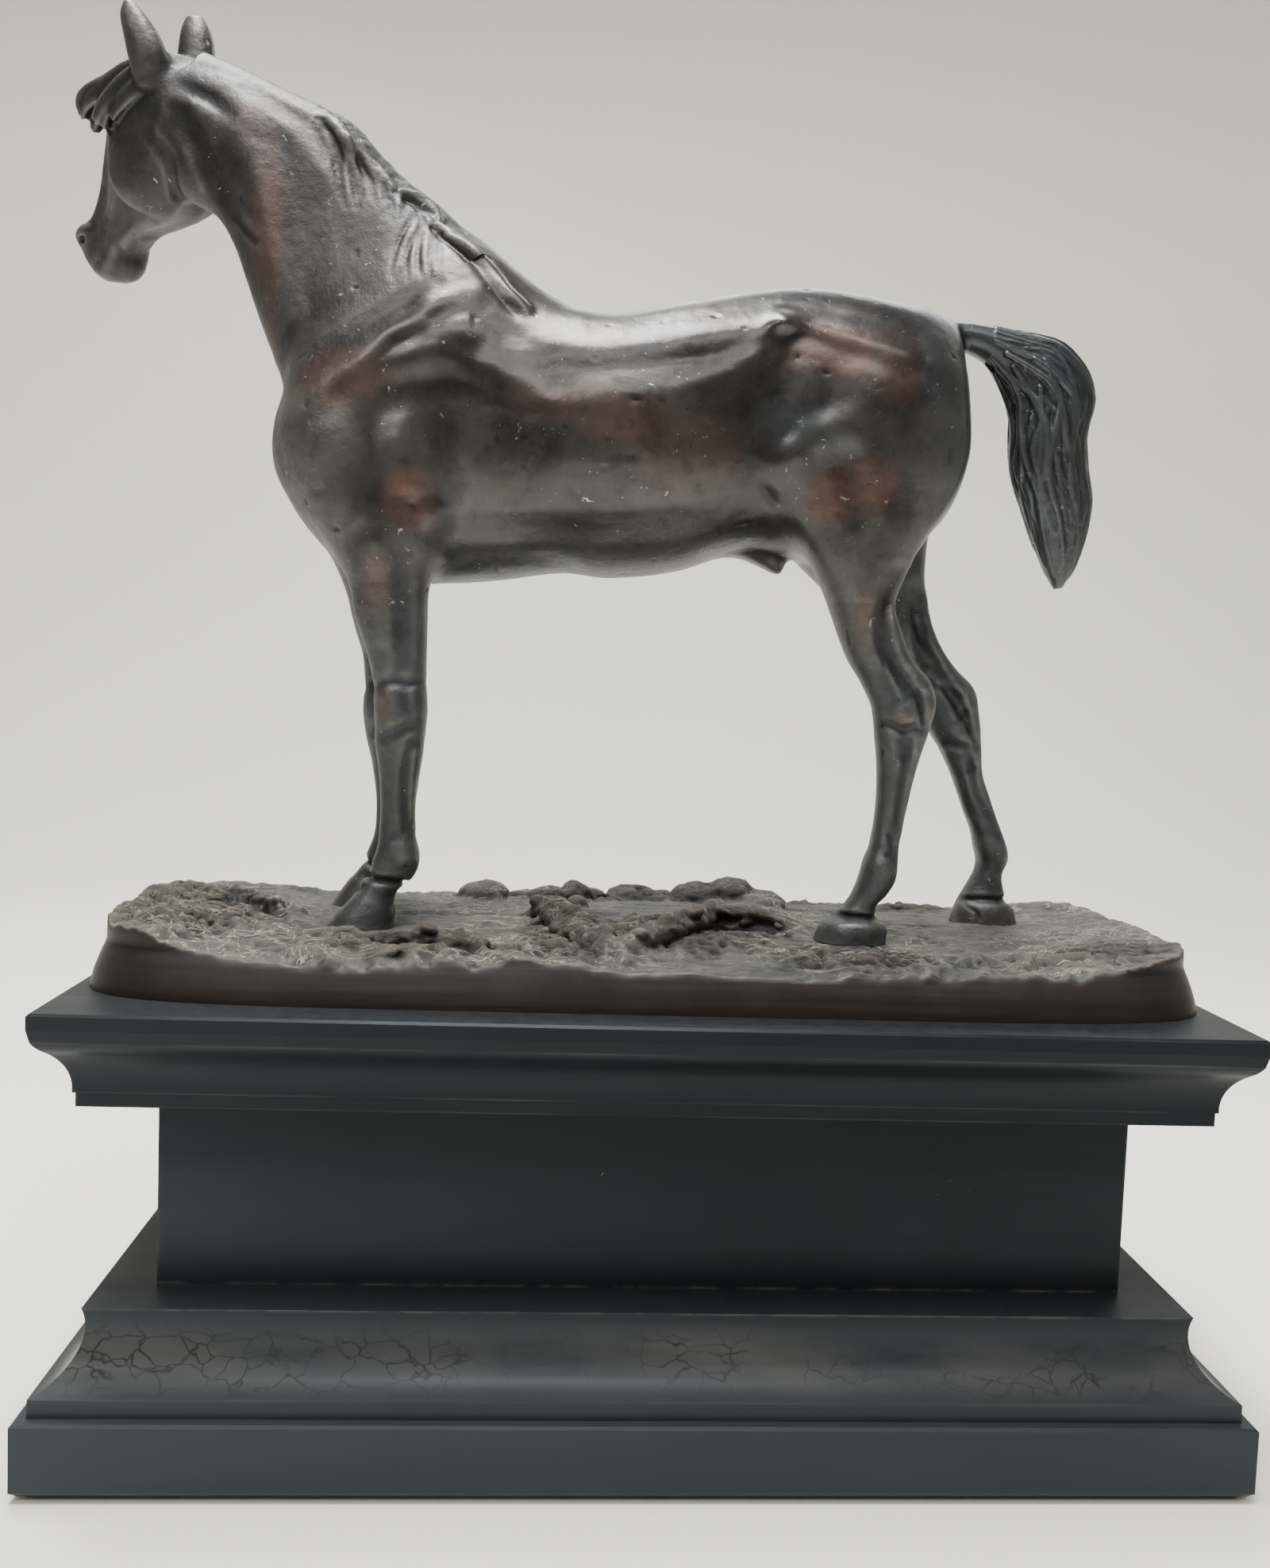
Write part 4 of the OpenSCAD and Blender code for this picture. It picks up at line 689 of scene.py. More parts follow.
def build_form(clay):
    """Lays the whole horse into one block; what lies outside the block is skipped."""
    clay.add(loft(TORSO))
    clay.add(loft(NECK, square=0.95), 7)
    for rows in (FORE_NEAR, FORE_FAR, HIND_NEAR, HIND_FAR):
        clay.add(loft(rows), 5)
    clay.add(loft(SHEATH), 3)
    for line in BODY_LINES + NECK_LINES:
        clay.stroke(line, 0)
    for at, half, height, turn in BODY_SWELLS:
        clay.swell(at, half, height, turn, 0)
    # breast, the parting between the buttocks and the dock
    clay.line([(-109, 0, 272, 5, -0.8), (-108, 0, 260, 6, -2.2), (-102, 0, 247, 6, -2.4),
               (-92, 0, 234, 6, -1.6)])
    clay.line([(-106, -9, 268, 7, 0.8), (-104, -10, 256, 8, 1.2), (-97, -11, 243, 7, 0.8)])
    clay.line([(-106, 9, 268, 7, 0.8), (-104, 10, 256, 8, 1.2), (-97, 11, 243, 7, 0.8)])
    clay.line([(86, 0, 292, 4, -1.4), (85.5, 0, 280, 5, -2.6), (82, 0, 265, 6, -3.2),
               (76, 0, 250, 6, -2.4)])
    clay.line([(40, 0, 314, 4, -0.5), (60, 0, 311.5, 5, -0.8), (74, 0, 309, 4, -0.4)])
    clay.line([(70, -7, 309, 5, 0.5), (80, -5, 304, 4, 0.4)])
    add_legs(clay)
    add_head(clay)
    add_tail(clay)
    for path in MANE_LOCKS:
        lay_lock(clay, path, 1.0)


# ---------------------------------------------------------------------------
# Fine surface
# ---------------------------------------------------------------------------
def scatter(x, y, z, seed):
    """An even number from 0 to 1 for whole-number places."""
    with np.errstate(over="ignore"):
        n = (x.astype(np.int64) * 374761393 + y.astype(np.int64) * 668265263
             + z.astype(np.int64) * 1440670441 + seed * 982451653) & 0xFFFFFFFF
        n = ((n ^ (n >> 13)) * 1274126177) & 0xFFFFFFFF
        n = ((n ^ (n >> 16)) * 2246822519) & 0xFFFFFFFF
    return ((n ^ (n >> 15)) & 0xFFFFFFFF) / 4294967296.0


def noise(p, size, seed=0, octaves=3):
    """Smooth noise from -1 to 1 at points; size is one wave in mm, or three for a stretched one."""
    total, weight, q = 0.0, 1.0, p / np.asarray(size, float)
    for o in range(octaves):
        cell = np.floor(q)
        f = q - cell
        f = f * f * (3 - 2 * f)
        value = 0
        for i in (0, 1):
            for j in (0, 1):
                for k in (0, 1):
                    part = (np.where(i, f[:, 0], 1 - f[:, 0]) * np.where(j, f[:, 1], 1 - f[:, 1])
                            * np.where(k, f[:, 2], 1 - f[:, 2]))
                    value = value + part * scatter(cell[:, 0] + i, cell[:, 1] + j, cell[:, 2] + k, seed + o)
        total = total + weight * (2 * value - 1)
        weight, q = weight * 0.5, q * 2.03
    return total / (2 - 2 * weight)


def normals_of(points, quads):
    a, b, c, d = (points[quads[:, i]] for i in range(4))
    face = np.cross(c - a, d - b)
    out = np.stack([np.bincount(quads.ravel(), np.repeat(face[:, i], 4), len(points)) for i in range(3)], 1)
    return out / np.maximum(np.linalg.norm(out, axis=1)[:, None], 1e-9)


def smoothed(values, quads, times):
    """Values averaged with those of the neighbours, some times over."""
    ends = np.concatenate([quads[:, [0, 1]], quads[:, [1, 2]], quads[:, [2, 3]], quads[:, [3, 0]]])
    count = np.bincount(ends[:, 0], minlength=len(values)) + np.bincount(ends[:, 1], minlength=len(values))
    for _ in range(times):
        total = np.zeros_like(values)
        for c in range(values.shape[1]):
            total[:, c] = (np.bincount(ends[:, 0], values[ends[:, 1], c], len(values))
                           + np.bincount(ends[:, 1], values[ends[:, 0], c], len(values)))
        values = 0.4 * values + 0.6 * total / np.maximum(count, 1)[:, None]
    return values


def hollows(points, quads, normals, times, depth):
    """How sunken each point is, from 0 to 1, and how raised."""
    rise = np.einsum("ij,ij->i", smoothed(points, quads, times) - points, normals)
    return np.clip(rise / depth, 0, 1), np.clip(-rise / depth, 0, 1)


# Rubbed, reddish places: (x, z), half sizes, strength, and y limits
RUBBED = [
    ((-158, 333), (9, 10), 0.9, (-20, 60)), ((-111, 318), (5.5, 36), 1.0, (-40, 8)),
    ((-118, 346), (9, 8), 0.6, (-40, 8)),
    ((-88, 277), (15, 9), 0.6, (-40, 0)), ((-69, 246), (8, 9), 1.0, (-40, 0)),
    ((-12, 268), (16, 8), 0.5, (-40, 0)),
    ((5, 262), (18, 12), 0.35, (-40, 0)), ((40, 291), (20, 9), 0.6, (-40, 0)),
    ((60, 286), (8, 14), 0.5, (-40, 0)),
    ((44, 252), (11, 9), 0.75, (-40, 0)), ((54, 255), (10, 9), 0.7, (-40, 0)),
    ((-78, 222), (4, 11), 0.9, (-40, 0)),
    ((-75, 191), (3.5, 6), 0.9, (-40, 0)), ((55, 219), (6, 9), 0.9, (-40, 0)),
    ((67, 193.5), (3.4, 3.4), 0.9, (-40, 0)),
    ((74, 196), (2.4, 3.4), 0.8, (-40, 0)), ((-10, 306), (26, 5), 0.5, (-40, 40)),
    ((-22, 272), (30, 7), 0.3, (-40, 0)),
]

# Crest of the neck, for the mane's paint: x, and z at each
CREST = ([-135, -121, -107, -91, -77, -66, -56, -48], [371, 366, 359, 351, 338, 330, 322, 316])


def paint(points, normals, sunk, raised):
    """Where the bronze is rubbed, where it is cool grey, and where it is dark, for each point."""
    rubbed = np.zeros(len(points))
    wobble = noise(points, 9, 11, 3) * 0.35
    for (x, z), (a, b), strength, (low, high) in RUBBED:
        fade = np.clip(1.15 - ((points[:, 0] - x) / a) ** 2 - ((points[:, 2] - z) / b) ** 2 + wobble, 0, 1)
        rubbed = np.maximum(rubbed, strength * fade * ((points[:, 1] > low) & (points[:, 1] < high)))
    far_side = np.clip(points[:, 1] / 12, 0, 1)
    rubbed = np.maximum(rubbed, 0.75 * far_side * np.clip(noise(points, 26, 5, 3) * 2.2 - 0.1, 0, 1))
    rubbed = np.clip(0.85 * rubbed * (0.75 + 0.5 * wobble) + 0.12 * raised, 0, 1)
    up = np.clip(normals[:, 2], 0, 1)
    down = np.clip(-normals[:, 2], 0, 1)
    leg = np.clip((238 - points[:, 2]) / 22, 0, 1)
    rear = np.clip((points[:, 0] - 62) / 16, 0, 1)
    neck = np.clip(1 - ((points[:, 0] + 88) / 18) ** 2 - ((points[:, 2] - 322) / 28) ** 2, 0, 1)
    thigh = np.clip(1.3 - ((points[:, 0] - 36) / 16) ** 2 - ((points[:, 2] - 270) / 9) ** 2, 0, 1)
    cool = (0.4 * up**2 + 0.4 * down + 0.4 * leg + 0.7 * rear + 0.3 * neck + 0.8 * thigh
            + 0.3 * noise(points, 14, 3, 2))
    cool = np.clip(cool, 0, 1) * (1 - 0.8 * rubbed)
    polish = (np.clip((points[:, 0] + 98) / 26, 0, 1) * np.clip((points[:, 2] - 230) / 16, 0, 1)
              * (1 - 0.25 * rear))
    polish = polish * np.clip((points[:, 0] * 0.9 - points[:, 2] + 372) / 14, 0, 1)
    grey = np.maximum(np.clip((246 - points[:, 2]) / 34, 0, 1), np.clip((points[:, 0] - 76) / 16, 0, 1))
    head = np.clip((-100 - points[:, 0]) / 20, 0, 1) * (points[:, 2] > 270)
    neck_side = np.clip((-56 - points[:, 0]) / 16, 0, 1) * np.clip((points[:, 2] - 285) / 20, 0, 1)
    # painted shade: the down term darkens the undersides of the belly, chest, neck and jaw
    sunk = np.clip(sunk + 0.7 * mane_mask(points) + 0.35 * head + 0.4 * neck_side
                   + 0.3 * down * (1 - grey), 0, 1)
    return {"rubbed": rubbed, "cool": cool, "hollow": sunk, "worn": raised * (1 - 0.8 * polish),
            "polish": polish, "grey": grey}


def mane_mask(points):
    """1 along the crest of the neck where the mane lies."""
    gap = np.abs(points[:, 2] - np.interp(points[:, 0], *CREST))
    return (np.clip(1.4 - gap / 9, 0, 1) * np.clip((points[:, 0] + 104) / 6, 0, 1)
            * np.clip((-52 - points[:, 0]) / 6, 0, 1))


def worked(points, quads, amount=0.1):
    """The sculptor's slightly uneven surface, with a few casting pits, and its paint."""
    points = points.astype(float)
    n = normals_of(points, quads)
    if np.einsum("ij,ij->i", points - points.mean(0), n).mean() < 0:
        quads, n = quads[:, ::-1], -n
    lift = amount * noise(points, 7.5, 1, 3) + 0.35 * amount * noise(points, 2.4, 2, 2)
    lift = lift + mane_mask(points) * (0.55 * np.abs(noise(points, 3.6, 21, 3)) - 0.2)
    pits = np.clip(noise(points, 3.6, 31, 1) - 0.8, 0, 1) * 6
    pits = np.clip(pits, 0, 1) * (points[:, 0] > -125)
    points = points + n * (lift - 0.35 * pits)[:, None]
    n = normals_of(points, quads)
    sunk, raised = hollows(points, quads, n, 14, 0.22)
    return points, quads, paint(points, n, sunk, raised)


def solid(name, points, quads, paints, planes, slot_name):
    """A closed piece: the surface cut by planes, each (point, direction to keep)."""
    mesh = bpy.data.meshes.new(name)
    mesh.from_pydata((points * MM).tolist(), [], quads.tolist())
    for key, values in paints.items():
        mesh.attributes.new(key, "FLOAT", "POINT").data.foreach_set("value", values.astype(np.float32))
    work = bmesh.new()
    work.from_mesh(mesh)
    for point, keep in planes:
        everything = work.verts[:] + work.edges[:] + work.faces[:]
        found = bmesh.ops.bisect_plane(
            work, geom=everything, dist=1e-7, plane_co=Vector(point) * MM, plane_no=Vector(keep),
            clear_inner=True)
        rim = [e for e in found["geom_cut"] if isinstance(e, bmesh.types.BMEdge)]
        if rim:
            lids = bmesh.ops.holes_fill(work, edges=rim, sides=0)["faces"]
            for e in rim:
                e.smooth = False
            for f in lids:
                f.smooth = True
    loose = [v for v in work.verts if not v.link_faces]
    bmesh.ops.delete(work, geom=loose, context="VERTS")
    keep_largest(work)
    for f in work.faces:
        f.smooth = True
    bmesh.ops.recalc_face_normals(work, faces=work.faces)
    work.to_mesh(mesh)
    work.free()
    piece = bpy.data.objects.new(name, mesh)
    bpy.context.scene.collection.objects.link(piece)
    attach(piece, "root")
    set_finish(piece, slot_name)
    return piece


def keep_largest(work):
    """Drops every loose part but the largest."""
    left, groups = set(work.verts), []
    while left:
        seed = left.pop()
        group, edge = {seed}, [seed]
        while edge:
            found = [e.other_vert(v) for v in edge for e in v.link_edges]
            edge = [v for v in set(found) if v in left]
            left.difference_update(edge)
            group.update(edge)
        groups.append(group)
    if len(groups) > 1:
        groups.sort(key=len)
        bmesh.ops.delete(work, geom=[v for g in groups[:-1] for v in g], context="VERTS")


NECK_SEAM = ((-48, 0, 316), (-107, 0, 279))
HEAD_SEAM = (-127, 7, 345)
LEG_SEAM_Z = 224
TAIL_SEAM_X = 86
CORONETS = {
    "fore_left": (-84, 138, -72, 135.3), "fore_right": (-90, 138, -78, 135.3),
    "hind_left": (48, 137, 66, 136), "hind_right": (97, 137.6, 114, 137),
}
LEG_BLOCKS = {
    "fore_left": ((-106, -34, 126), (-54, 2, 232)), "fore_right": ((-110, -2, 126), (-60, 34, 232)),
    "hind_left": ((30, -36, 126), (84, 2, 232)), "hind_right": ((40, -2, 126), (122, 34, 232)),
}


def seam_up(a, b):
    """Direction square to a seam that runs between two points in the xz plane, pointing up."""
    n = Vector((-(a[2] - b[2]), 0, a[0] - b[0])).normalized()
    return n if n.z > 0 else -n


def horse_pieces():
    """Sculpts the castings and cuts them where the real ones join."""
    # sizes of the distance blocks' cells, in mm
    steps = ((0.8, 0.6, 0.5, 0.42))
    body_step, neck_step, fine_step, hair_step = steps
    neck_up = seam_up(*NECK_SEAM)
    tilt, aside = math.radians(82), math.radians(25)
    head_way = Matrix.Rotation(-aside, 3, "Z") @ Matrix.Rotation(-tilt, 3, "Y") @ Vector((0, 0, 1))
    made = []

    def sculpt(low, high, step, eases):
        block = Clay(low, high, step)
        build_form(block)
        block.ease(eases)
        return worked(*block.mesh())

    body = sculpt((-116, -38, 220), (92, 38, 324), body_step, 2)
    leg_seam, tail_seam = (0, 0, LEG_SEAM_Z), (TAIL_SEAM_X, 0, 0)
    made.append(solid("torso_skin", *body,
                      [(leg_seam, (0, 0, 1)), (NECK_SEAM[0], -neck_up), (tail_seam, (-1, 0, 0))],
                      "body_bronze"))
    crest = sculpt((-148, -32, 248), (-26, 34, 380), neck_step, 1)
    made.append(solid("neck_skin", *crest, [(NECK_SEAM[0], neck_up), (HEAD_SEAM, -head_way)],
                      "body_bronze"))
    skull = sculpt((-184, -22, 296), (-104, 54, 391), fine_step, 1)
    made.append(solid("head_skin", *skull, [(HEAD_SEAM, head_way), (NECK_SEAM[0], neck_up)], "body_bronze"))
    hair = sculpt((80, -14, 226), (130, 14, 314), hair_step, 0)
    made.append(solid("tail_skin", *hair, [(tail_seam, (1, 0, 0))], "dark_bronze"))
    for leg, (low, high) in LEG_BLOCKS.items():
        limb = sculpt(low, high, fine_step, 1)
        c = CORONETS[leg]
        line, up = (c[0], 0, c[1]), seam_up((c[0], 0, c[1]), (c[2], 0, c[3]))
        start, side = leg.split("_")
        made.append(solid(f"{start}leg_{side}_skin", *limb, [(leg_seam, (0, 0, -1)), (line, up)],
                          "dark_bronze"))
        made.append(solid(f"hoof_{leg}_skin", *limb, [(line, -up)], "dark_bronze"))
    for piece in made:
        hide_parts(piece.name.replace("_skin", ""))
    return made


# ---------------------------------------------------------------------------
# The cast ground
# ---------------------------------------------------------------------------
CAP_TOP = 117.4
GROUND_Z = 129.6
GROUND_A, GROUND_B, GROUND_ROUND, GROUND_DRAFT = 148.0, 60.3, 6.5, 3.2
GROUND_WALL, GROUND_CEILING = 4.5, 124.4
# Upper edge of the ground's wall, along the front and the rear: (x, z)
FRONT_RIM = [
    (-146, 134), (-134, 132.5), (-118, 128.8), (-99, 127.1), (-76, 125.5), (-58, 125.8), (-46, 126.6),
    (-40, 128.6), (-35.5, 129.8),
    (-30, 129.2), (-22, 127.8), (-12, 126.7), (7, 127.1), (21, 126.5), (36, 125.8), (44, 126.6),
    (48, 128.2), (52, 127.2), (68, 127.0),
    (85, 126.4), (101, 126.8), (113, 128.1), (132, 131.8), (146, 134),
]
REAR_RIM = [(-146, 133), (-110, 128.5), (-60, 127), (0, 127), (60, 126.5), (110, 128), (146, 133.5)]
# Level places under the hooves: x, y, half sizes
SEATS = [(-81, -16, 12, 10.5), (-86.5, 20, 11.5, 10.5), (55.3, -20, 13, 10.6), (105.5, 17, 13, 10.6)]
# The fallen branch, its spur and its fork: x, y, z, radius
BRANCH = [(-35, 8, 129, 2.6), (-31, -3, 132, 4.2), (-28.5, -10, 134.4, 4.0), (-24, -20, 133, 5.2),
          (-19, -32, 131.2, 5.6), (-13, -43, 128.6, 5.0), (-8, -50, 126.5, 3.4)]
SPUR = [(-36, -12, 129.5, 1.4), (-31, -14, 131.5, 2.4), (-26, -16, 132.5, 3.2)]
FORK = [(-14, -44, 127.5, 3.2), (-8, -40, 130.2, 4.2), (0, -34, 132.6, 4.4), (8, -26, 134.2, 4.0),
        (15, -18, 134.8, 3.6), (20, -10, 133.5, 3.4)]
# Lumps on the branch, the fork and the mound: (x, y, z), half sizes
KNOTS = [
    ((-32, -8, 136.6), (2.6, 2.2, 2.2)), ((-27, -15, 137), (2.2, 2.4, 1.8)),
    ((-22.5, -24, 136.4), (3, 2.2, 2.2)), ((-26, -28, 132.6), (2.4, 2, 2.2)),
    ((-14, -36, 133), (2.8, 2.4, 2.0)), ((-10.5, -45, 130.4), (2.4, 2, 2.2)),
    ((-5, -40, 134), (2.4, 2.2, 1.8)), ((3, -33, 136.4), (2.6, 2.4, 2.2)),
    ((10, -27, 137.8), (2.8, 2.4, 1.8)), ((16, -19, 137.6), (2.6, 2.4, 2.0)), ((36, 2, 135.6), (5, 4, 2.6)),
    ((20, 2, 135), (4, 4, 2.4)),
]
# Mounds and dips of the ground: (x, y), half sizes, height, turn
MOUNDS = [
    ((-138, 2), (15, 12), 2.6, 10), ((-136, -12), (9, 8), -2.4, 0), ((-122, -30), (10, 9), -2.2, 20),
    ((-124, 4), (14, 7), 1.4, 0),
    ((-108, -4), (14, 6), 1.2, -10), ((-128, -46), (14, 8), 1.6, 0), ((-83, -54), (6, 4), 1.2, 0),
    ((-60, -52), (26, 7), 1.4, 0),
    ((-2, -12), (24, 14), 1.6, 30), ((30, -16), (20, 16), 2.2, 20), ((60, 12), (26, 14), -0.6, 0),
    ((88, -38), (30, 9), 0.8, 4),
    ((48, -46), (14, 7), 1.2, 0), ((120, -20), (22, 26), 1.2, 0), ((126, 34), (18, 12), 1.4, 0),
    ((20, 40), (44, 12), 1.4, 4),
]
# Ridges and cracks: points (x, y, width, height)
TRAILS = [
    [(-96, -36, 3, -1.2), (-88, -38, 3.2, -3.2), (-80, -36, 3.2, -3.6), (-72, -42, 3.2, -4.2),
     (-62, -43, 3.4, -4.6), (-50, -44, 3.4, -4.4), (-40, -42, 3, -1.6)],
    [(-96, -32.5, 2.6, 1.0), (-84, -32.5, 2.6, 2.0), (-72, -37.5, 2.6, 2.2), (-60, -38.5, 2.6, 2.4),
     (-46, -38.5, 2.6, 1.8)],
    [(-128, 0, 3, 1.0), (-118, 4, 3, 1.8), (-108, -4, 3, 1.6), (-100, -6, 3, 1.0)],
    [(-128, -6, 2.4, -2.2), (-116, -3, 2.4, -3.2), (-104, -10, 2.4, -2.4)],
    [(-140, -20, 3, -2.4), (-133, -26, 4, -4.2), (-126, -22, 3.4, -3.4), (-119, -27, 3, -2.0)],
    [(40, -12, 3, -0.6), (44, -26, 2.4, -1.2), (52, -36, 2.4, -0.8)],
    [(36, -18, 2, 0.8), (40, -30, 2, 1.0), (46, -42, 2, 0.8)],
    [(46, -8, 2, 0.5), (52, -24, 2, 0.8), (60, -36, 2, 0.6)],
    [(72, -34, 2, -0.6), (84, -37, 2, -1.4), (92, -35, 2, -1.0)],
    [(98, -38, 2, -0.8), (112, -36, 2, -1.6), (124, -33, 2, -1.2), (134, -32, 2, -0.4)],
    [(96, -42, 1.6, 0.5), (112, -41, 1.6, 0.8), (128, -38, 1.6, 0.5)],
    [(70, -20, 2.4, 0.4), (90, -24, 2.4, 0.7), (112, -22, 2.4, 0.7), (132, -14, 2.4, 0.4)],
    [(72, 34, 3, 0.8), (86, 40, 3, 1.6), (100, 39, 3, 1.0)],
    [(116, 40, 3, 1.0), (130, 36, 3, 1.6), (140, 28, 3, 1.0)],
    [(22, 38, 5, 1.0), (36, 34, 5, 2.2), (50, 28, 4, 1.6), (62, 26, 3, 0.6)],
]
# Stones: (x, y, z), half sizes
STONES = [
    ((-50, 41, 130.6), (8.4, 6.5, 4.6)), ((-29, 44, 129.8), (6.5, 5, 3.2)),
    ((-21, 42, 130.5), (5.2, 4.4, 4.6)), ((-16, 47, 129.8), (5, 4, 2.8)),
    ((-2, 45, 130.2), (8.5, 6, 3.9)), ((9, 47, 129.6), (5, 4, 2.6)), ((20, 43, 131.4), (9, 7, 4.6)),
    ((30, 41, 132.6), (7.5, 6, 5.4)),
    ((39, 38, 131), (8, 6, 3.8)), ((-20.5, 20, 131), (3.6, 3.4, 3.8)), ((-38, 46, 129), (5, 4, 2.2)),
    ((-63, 44, 128.8), (5, 4, 2.0)),
    ((-140, 20, 131.5), (9, 8, 3.6)), ((-143, 4, 131), (5, 7, 3.6)), ((-83.5, -55, 126.5), (1.7, 1.7, 3.4)),
    ((-112, 30, 129), (9, 7, 2.6)),
]
# Where the ground is broken and rocky: (x, y), half sizes
WILD = [
    ((-128, -10), (24, 40)), ((-60, -44), (34, 10)), ((-22, -20), (16, 36)), ((12, -22), (30, 22)),
    ((0, 46), (70, 12)),
    ((50, -44), (26, 12)), ((126, -36), (20, 10)), ((90, 42), (26, 10)),
]


def oval(x, y, at, half, turn=0.0):
    """1 at a place falling to 0 at the edge of an oval round it."""
    c, s = math.cos(math.radians(turn)), math.sin(math.radians(turn))
    u, v = ((x - at[0]) * c + (y - at[1]) * s) / half[0], ((y - at[1]) * c - (x - at[0]) * s) / half[1]
    return np.clip(1 - u * u - v * v, 0, 1) ** 1.5


def trail(x, y, line):
    p, best = spline(line, 4), np.zeros(x.shape)
    for a, b in zip(p[:-1], p[1:]):
        dx, dy = b[0] - a[0], b[1] - a[1]
        t = np.clip(((x - a[0]) * dx + (y - a[1]) * dy) / max(dx * dx + dy * dy, 1e-9), 0, 1)
        gap = (x - a[0] - t * dx) ** 2 + (y - a[1] - t * dy) ** 2
        value = (a[3] + t * (b[3] - a[3])) * np.clip(1 - gap / (a[2] + t * (b[2] - a[2])) ** 2, 0, 1) ** 1.5
        best = np.where(np.abs(value) > np.abs(best), value, best)
    return best


def spread(x, y, size, seed, octaves=3):
    """Flat noise over a grid of places."""
    flat = np.stack([x.ravel(), y.ravel(), np.zeros(x.size)], 1)
    return noise(flat, size, seed, octaves).reshape(x.shape)


def outline(x, y, a, b):
    """Roughly the distance outside the casting's squarish oval outline."""
    u, v = np.abs(x / a), np.abs(y / b)
    g = np.maximum((u**GROUND_ROUND + v**GROUND_ROUND) ** (1 / GROUND_ROUND), 1e-3)
    slope = g ** (1 - GROUND_ROUND) * np.sqrt((u ** (GROUND_ROUND - 1) / a) ** 2
                                              + (v ** (GROUND_ROUND - 1) / b) ** 2)
    return (g - 1) / np.maximum(slope, 1e-4), g


def ground_top(x, y):
    edge = outline(x, y, GROUND_A - GROUND_DRAFT, GROUND_B - GROUND_DRAFT)[1]
    front, rear = (np.interp(x, *np.array(rim).T) for rim in (FRONT_RIM, REAR_RIM))
    rim = np.where(y < 0, front, rear) * 0.5 + 0.5 * (front + (rear - front) * np.clip(y / 90 + 0.5, 0, 1))
    rim = np.where(np.abs(y) > 30, np.where(y < 0, front, rear), rim)
    inner = 130.6 - 3.0 * (y / GROUND_B) ** 2 + (3 - 2 * y / GROUND_B) * np.abs(x / GROUND_A) ** 6
    high = inner + (rim - inner) * np.clip(edge, 0, 1) ** 9
    rocky = np.clip(oval(x, y, (-126, -8), (36, 62)) + 0.8 * oval(x, y, (-60, -46), (62, 22))
                    + 0.5 * oval(x, y, (10, -20), (60, 40))
                    + 0.6 * oval(x, y, (90, -48), (60, 16)) + 0.5 * oval(x, y, (0, 52), (150, 16)) + 0.18,
                    0, 1)
    rock = ((1 - 2 * np.abs(spread(x, y, 15, 41, 4))) * 2.5
            + (1 - 2.4 * np.abs(spread(x, y, 6, 43, 3))) * 1.5 - 0.8)
    ripple = 1 - 2 * np.abs(spread(x + 6 * spread(x, y, 40, 47, 2), y, (34, 6.5, 1), 49, 3))
    high = high + rocky * rock + (1 - 0.7 * rocky) * 0.7 * ripple + 0.4 * spread(x, y, 9, 51, 3)
    for at, half, height, turn in MOUNDS:
        high = high + height * oval(x, y, at, half, turn)
    for line in TRAILS:
        high = high + trail(x, y, line)
    for sx, sy, ha, hb in SEATS:
        flat = np.clip(1.6 * (1.25 - np.hypot((x - sx) / ha, (y - sy) / hb)), 0, 1)
        high = high * (1 - flat) + (GROUND_Z + 0.1) * flat
    return high


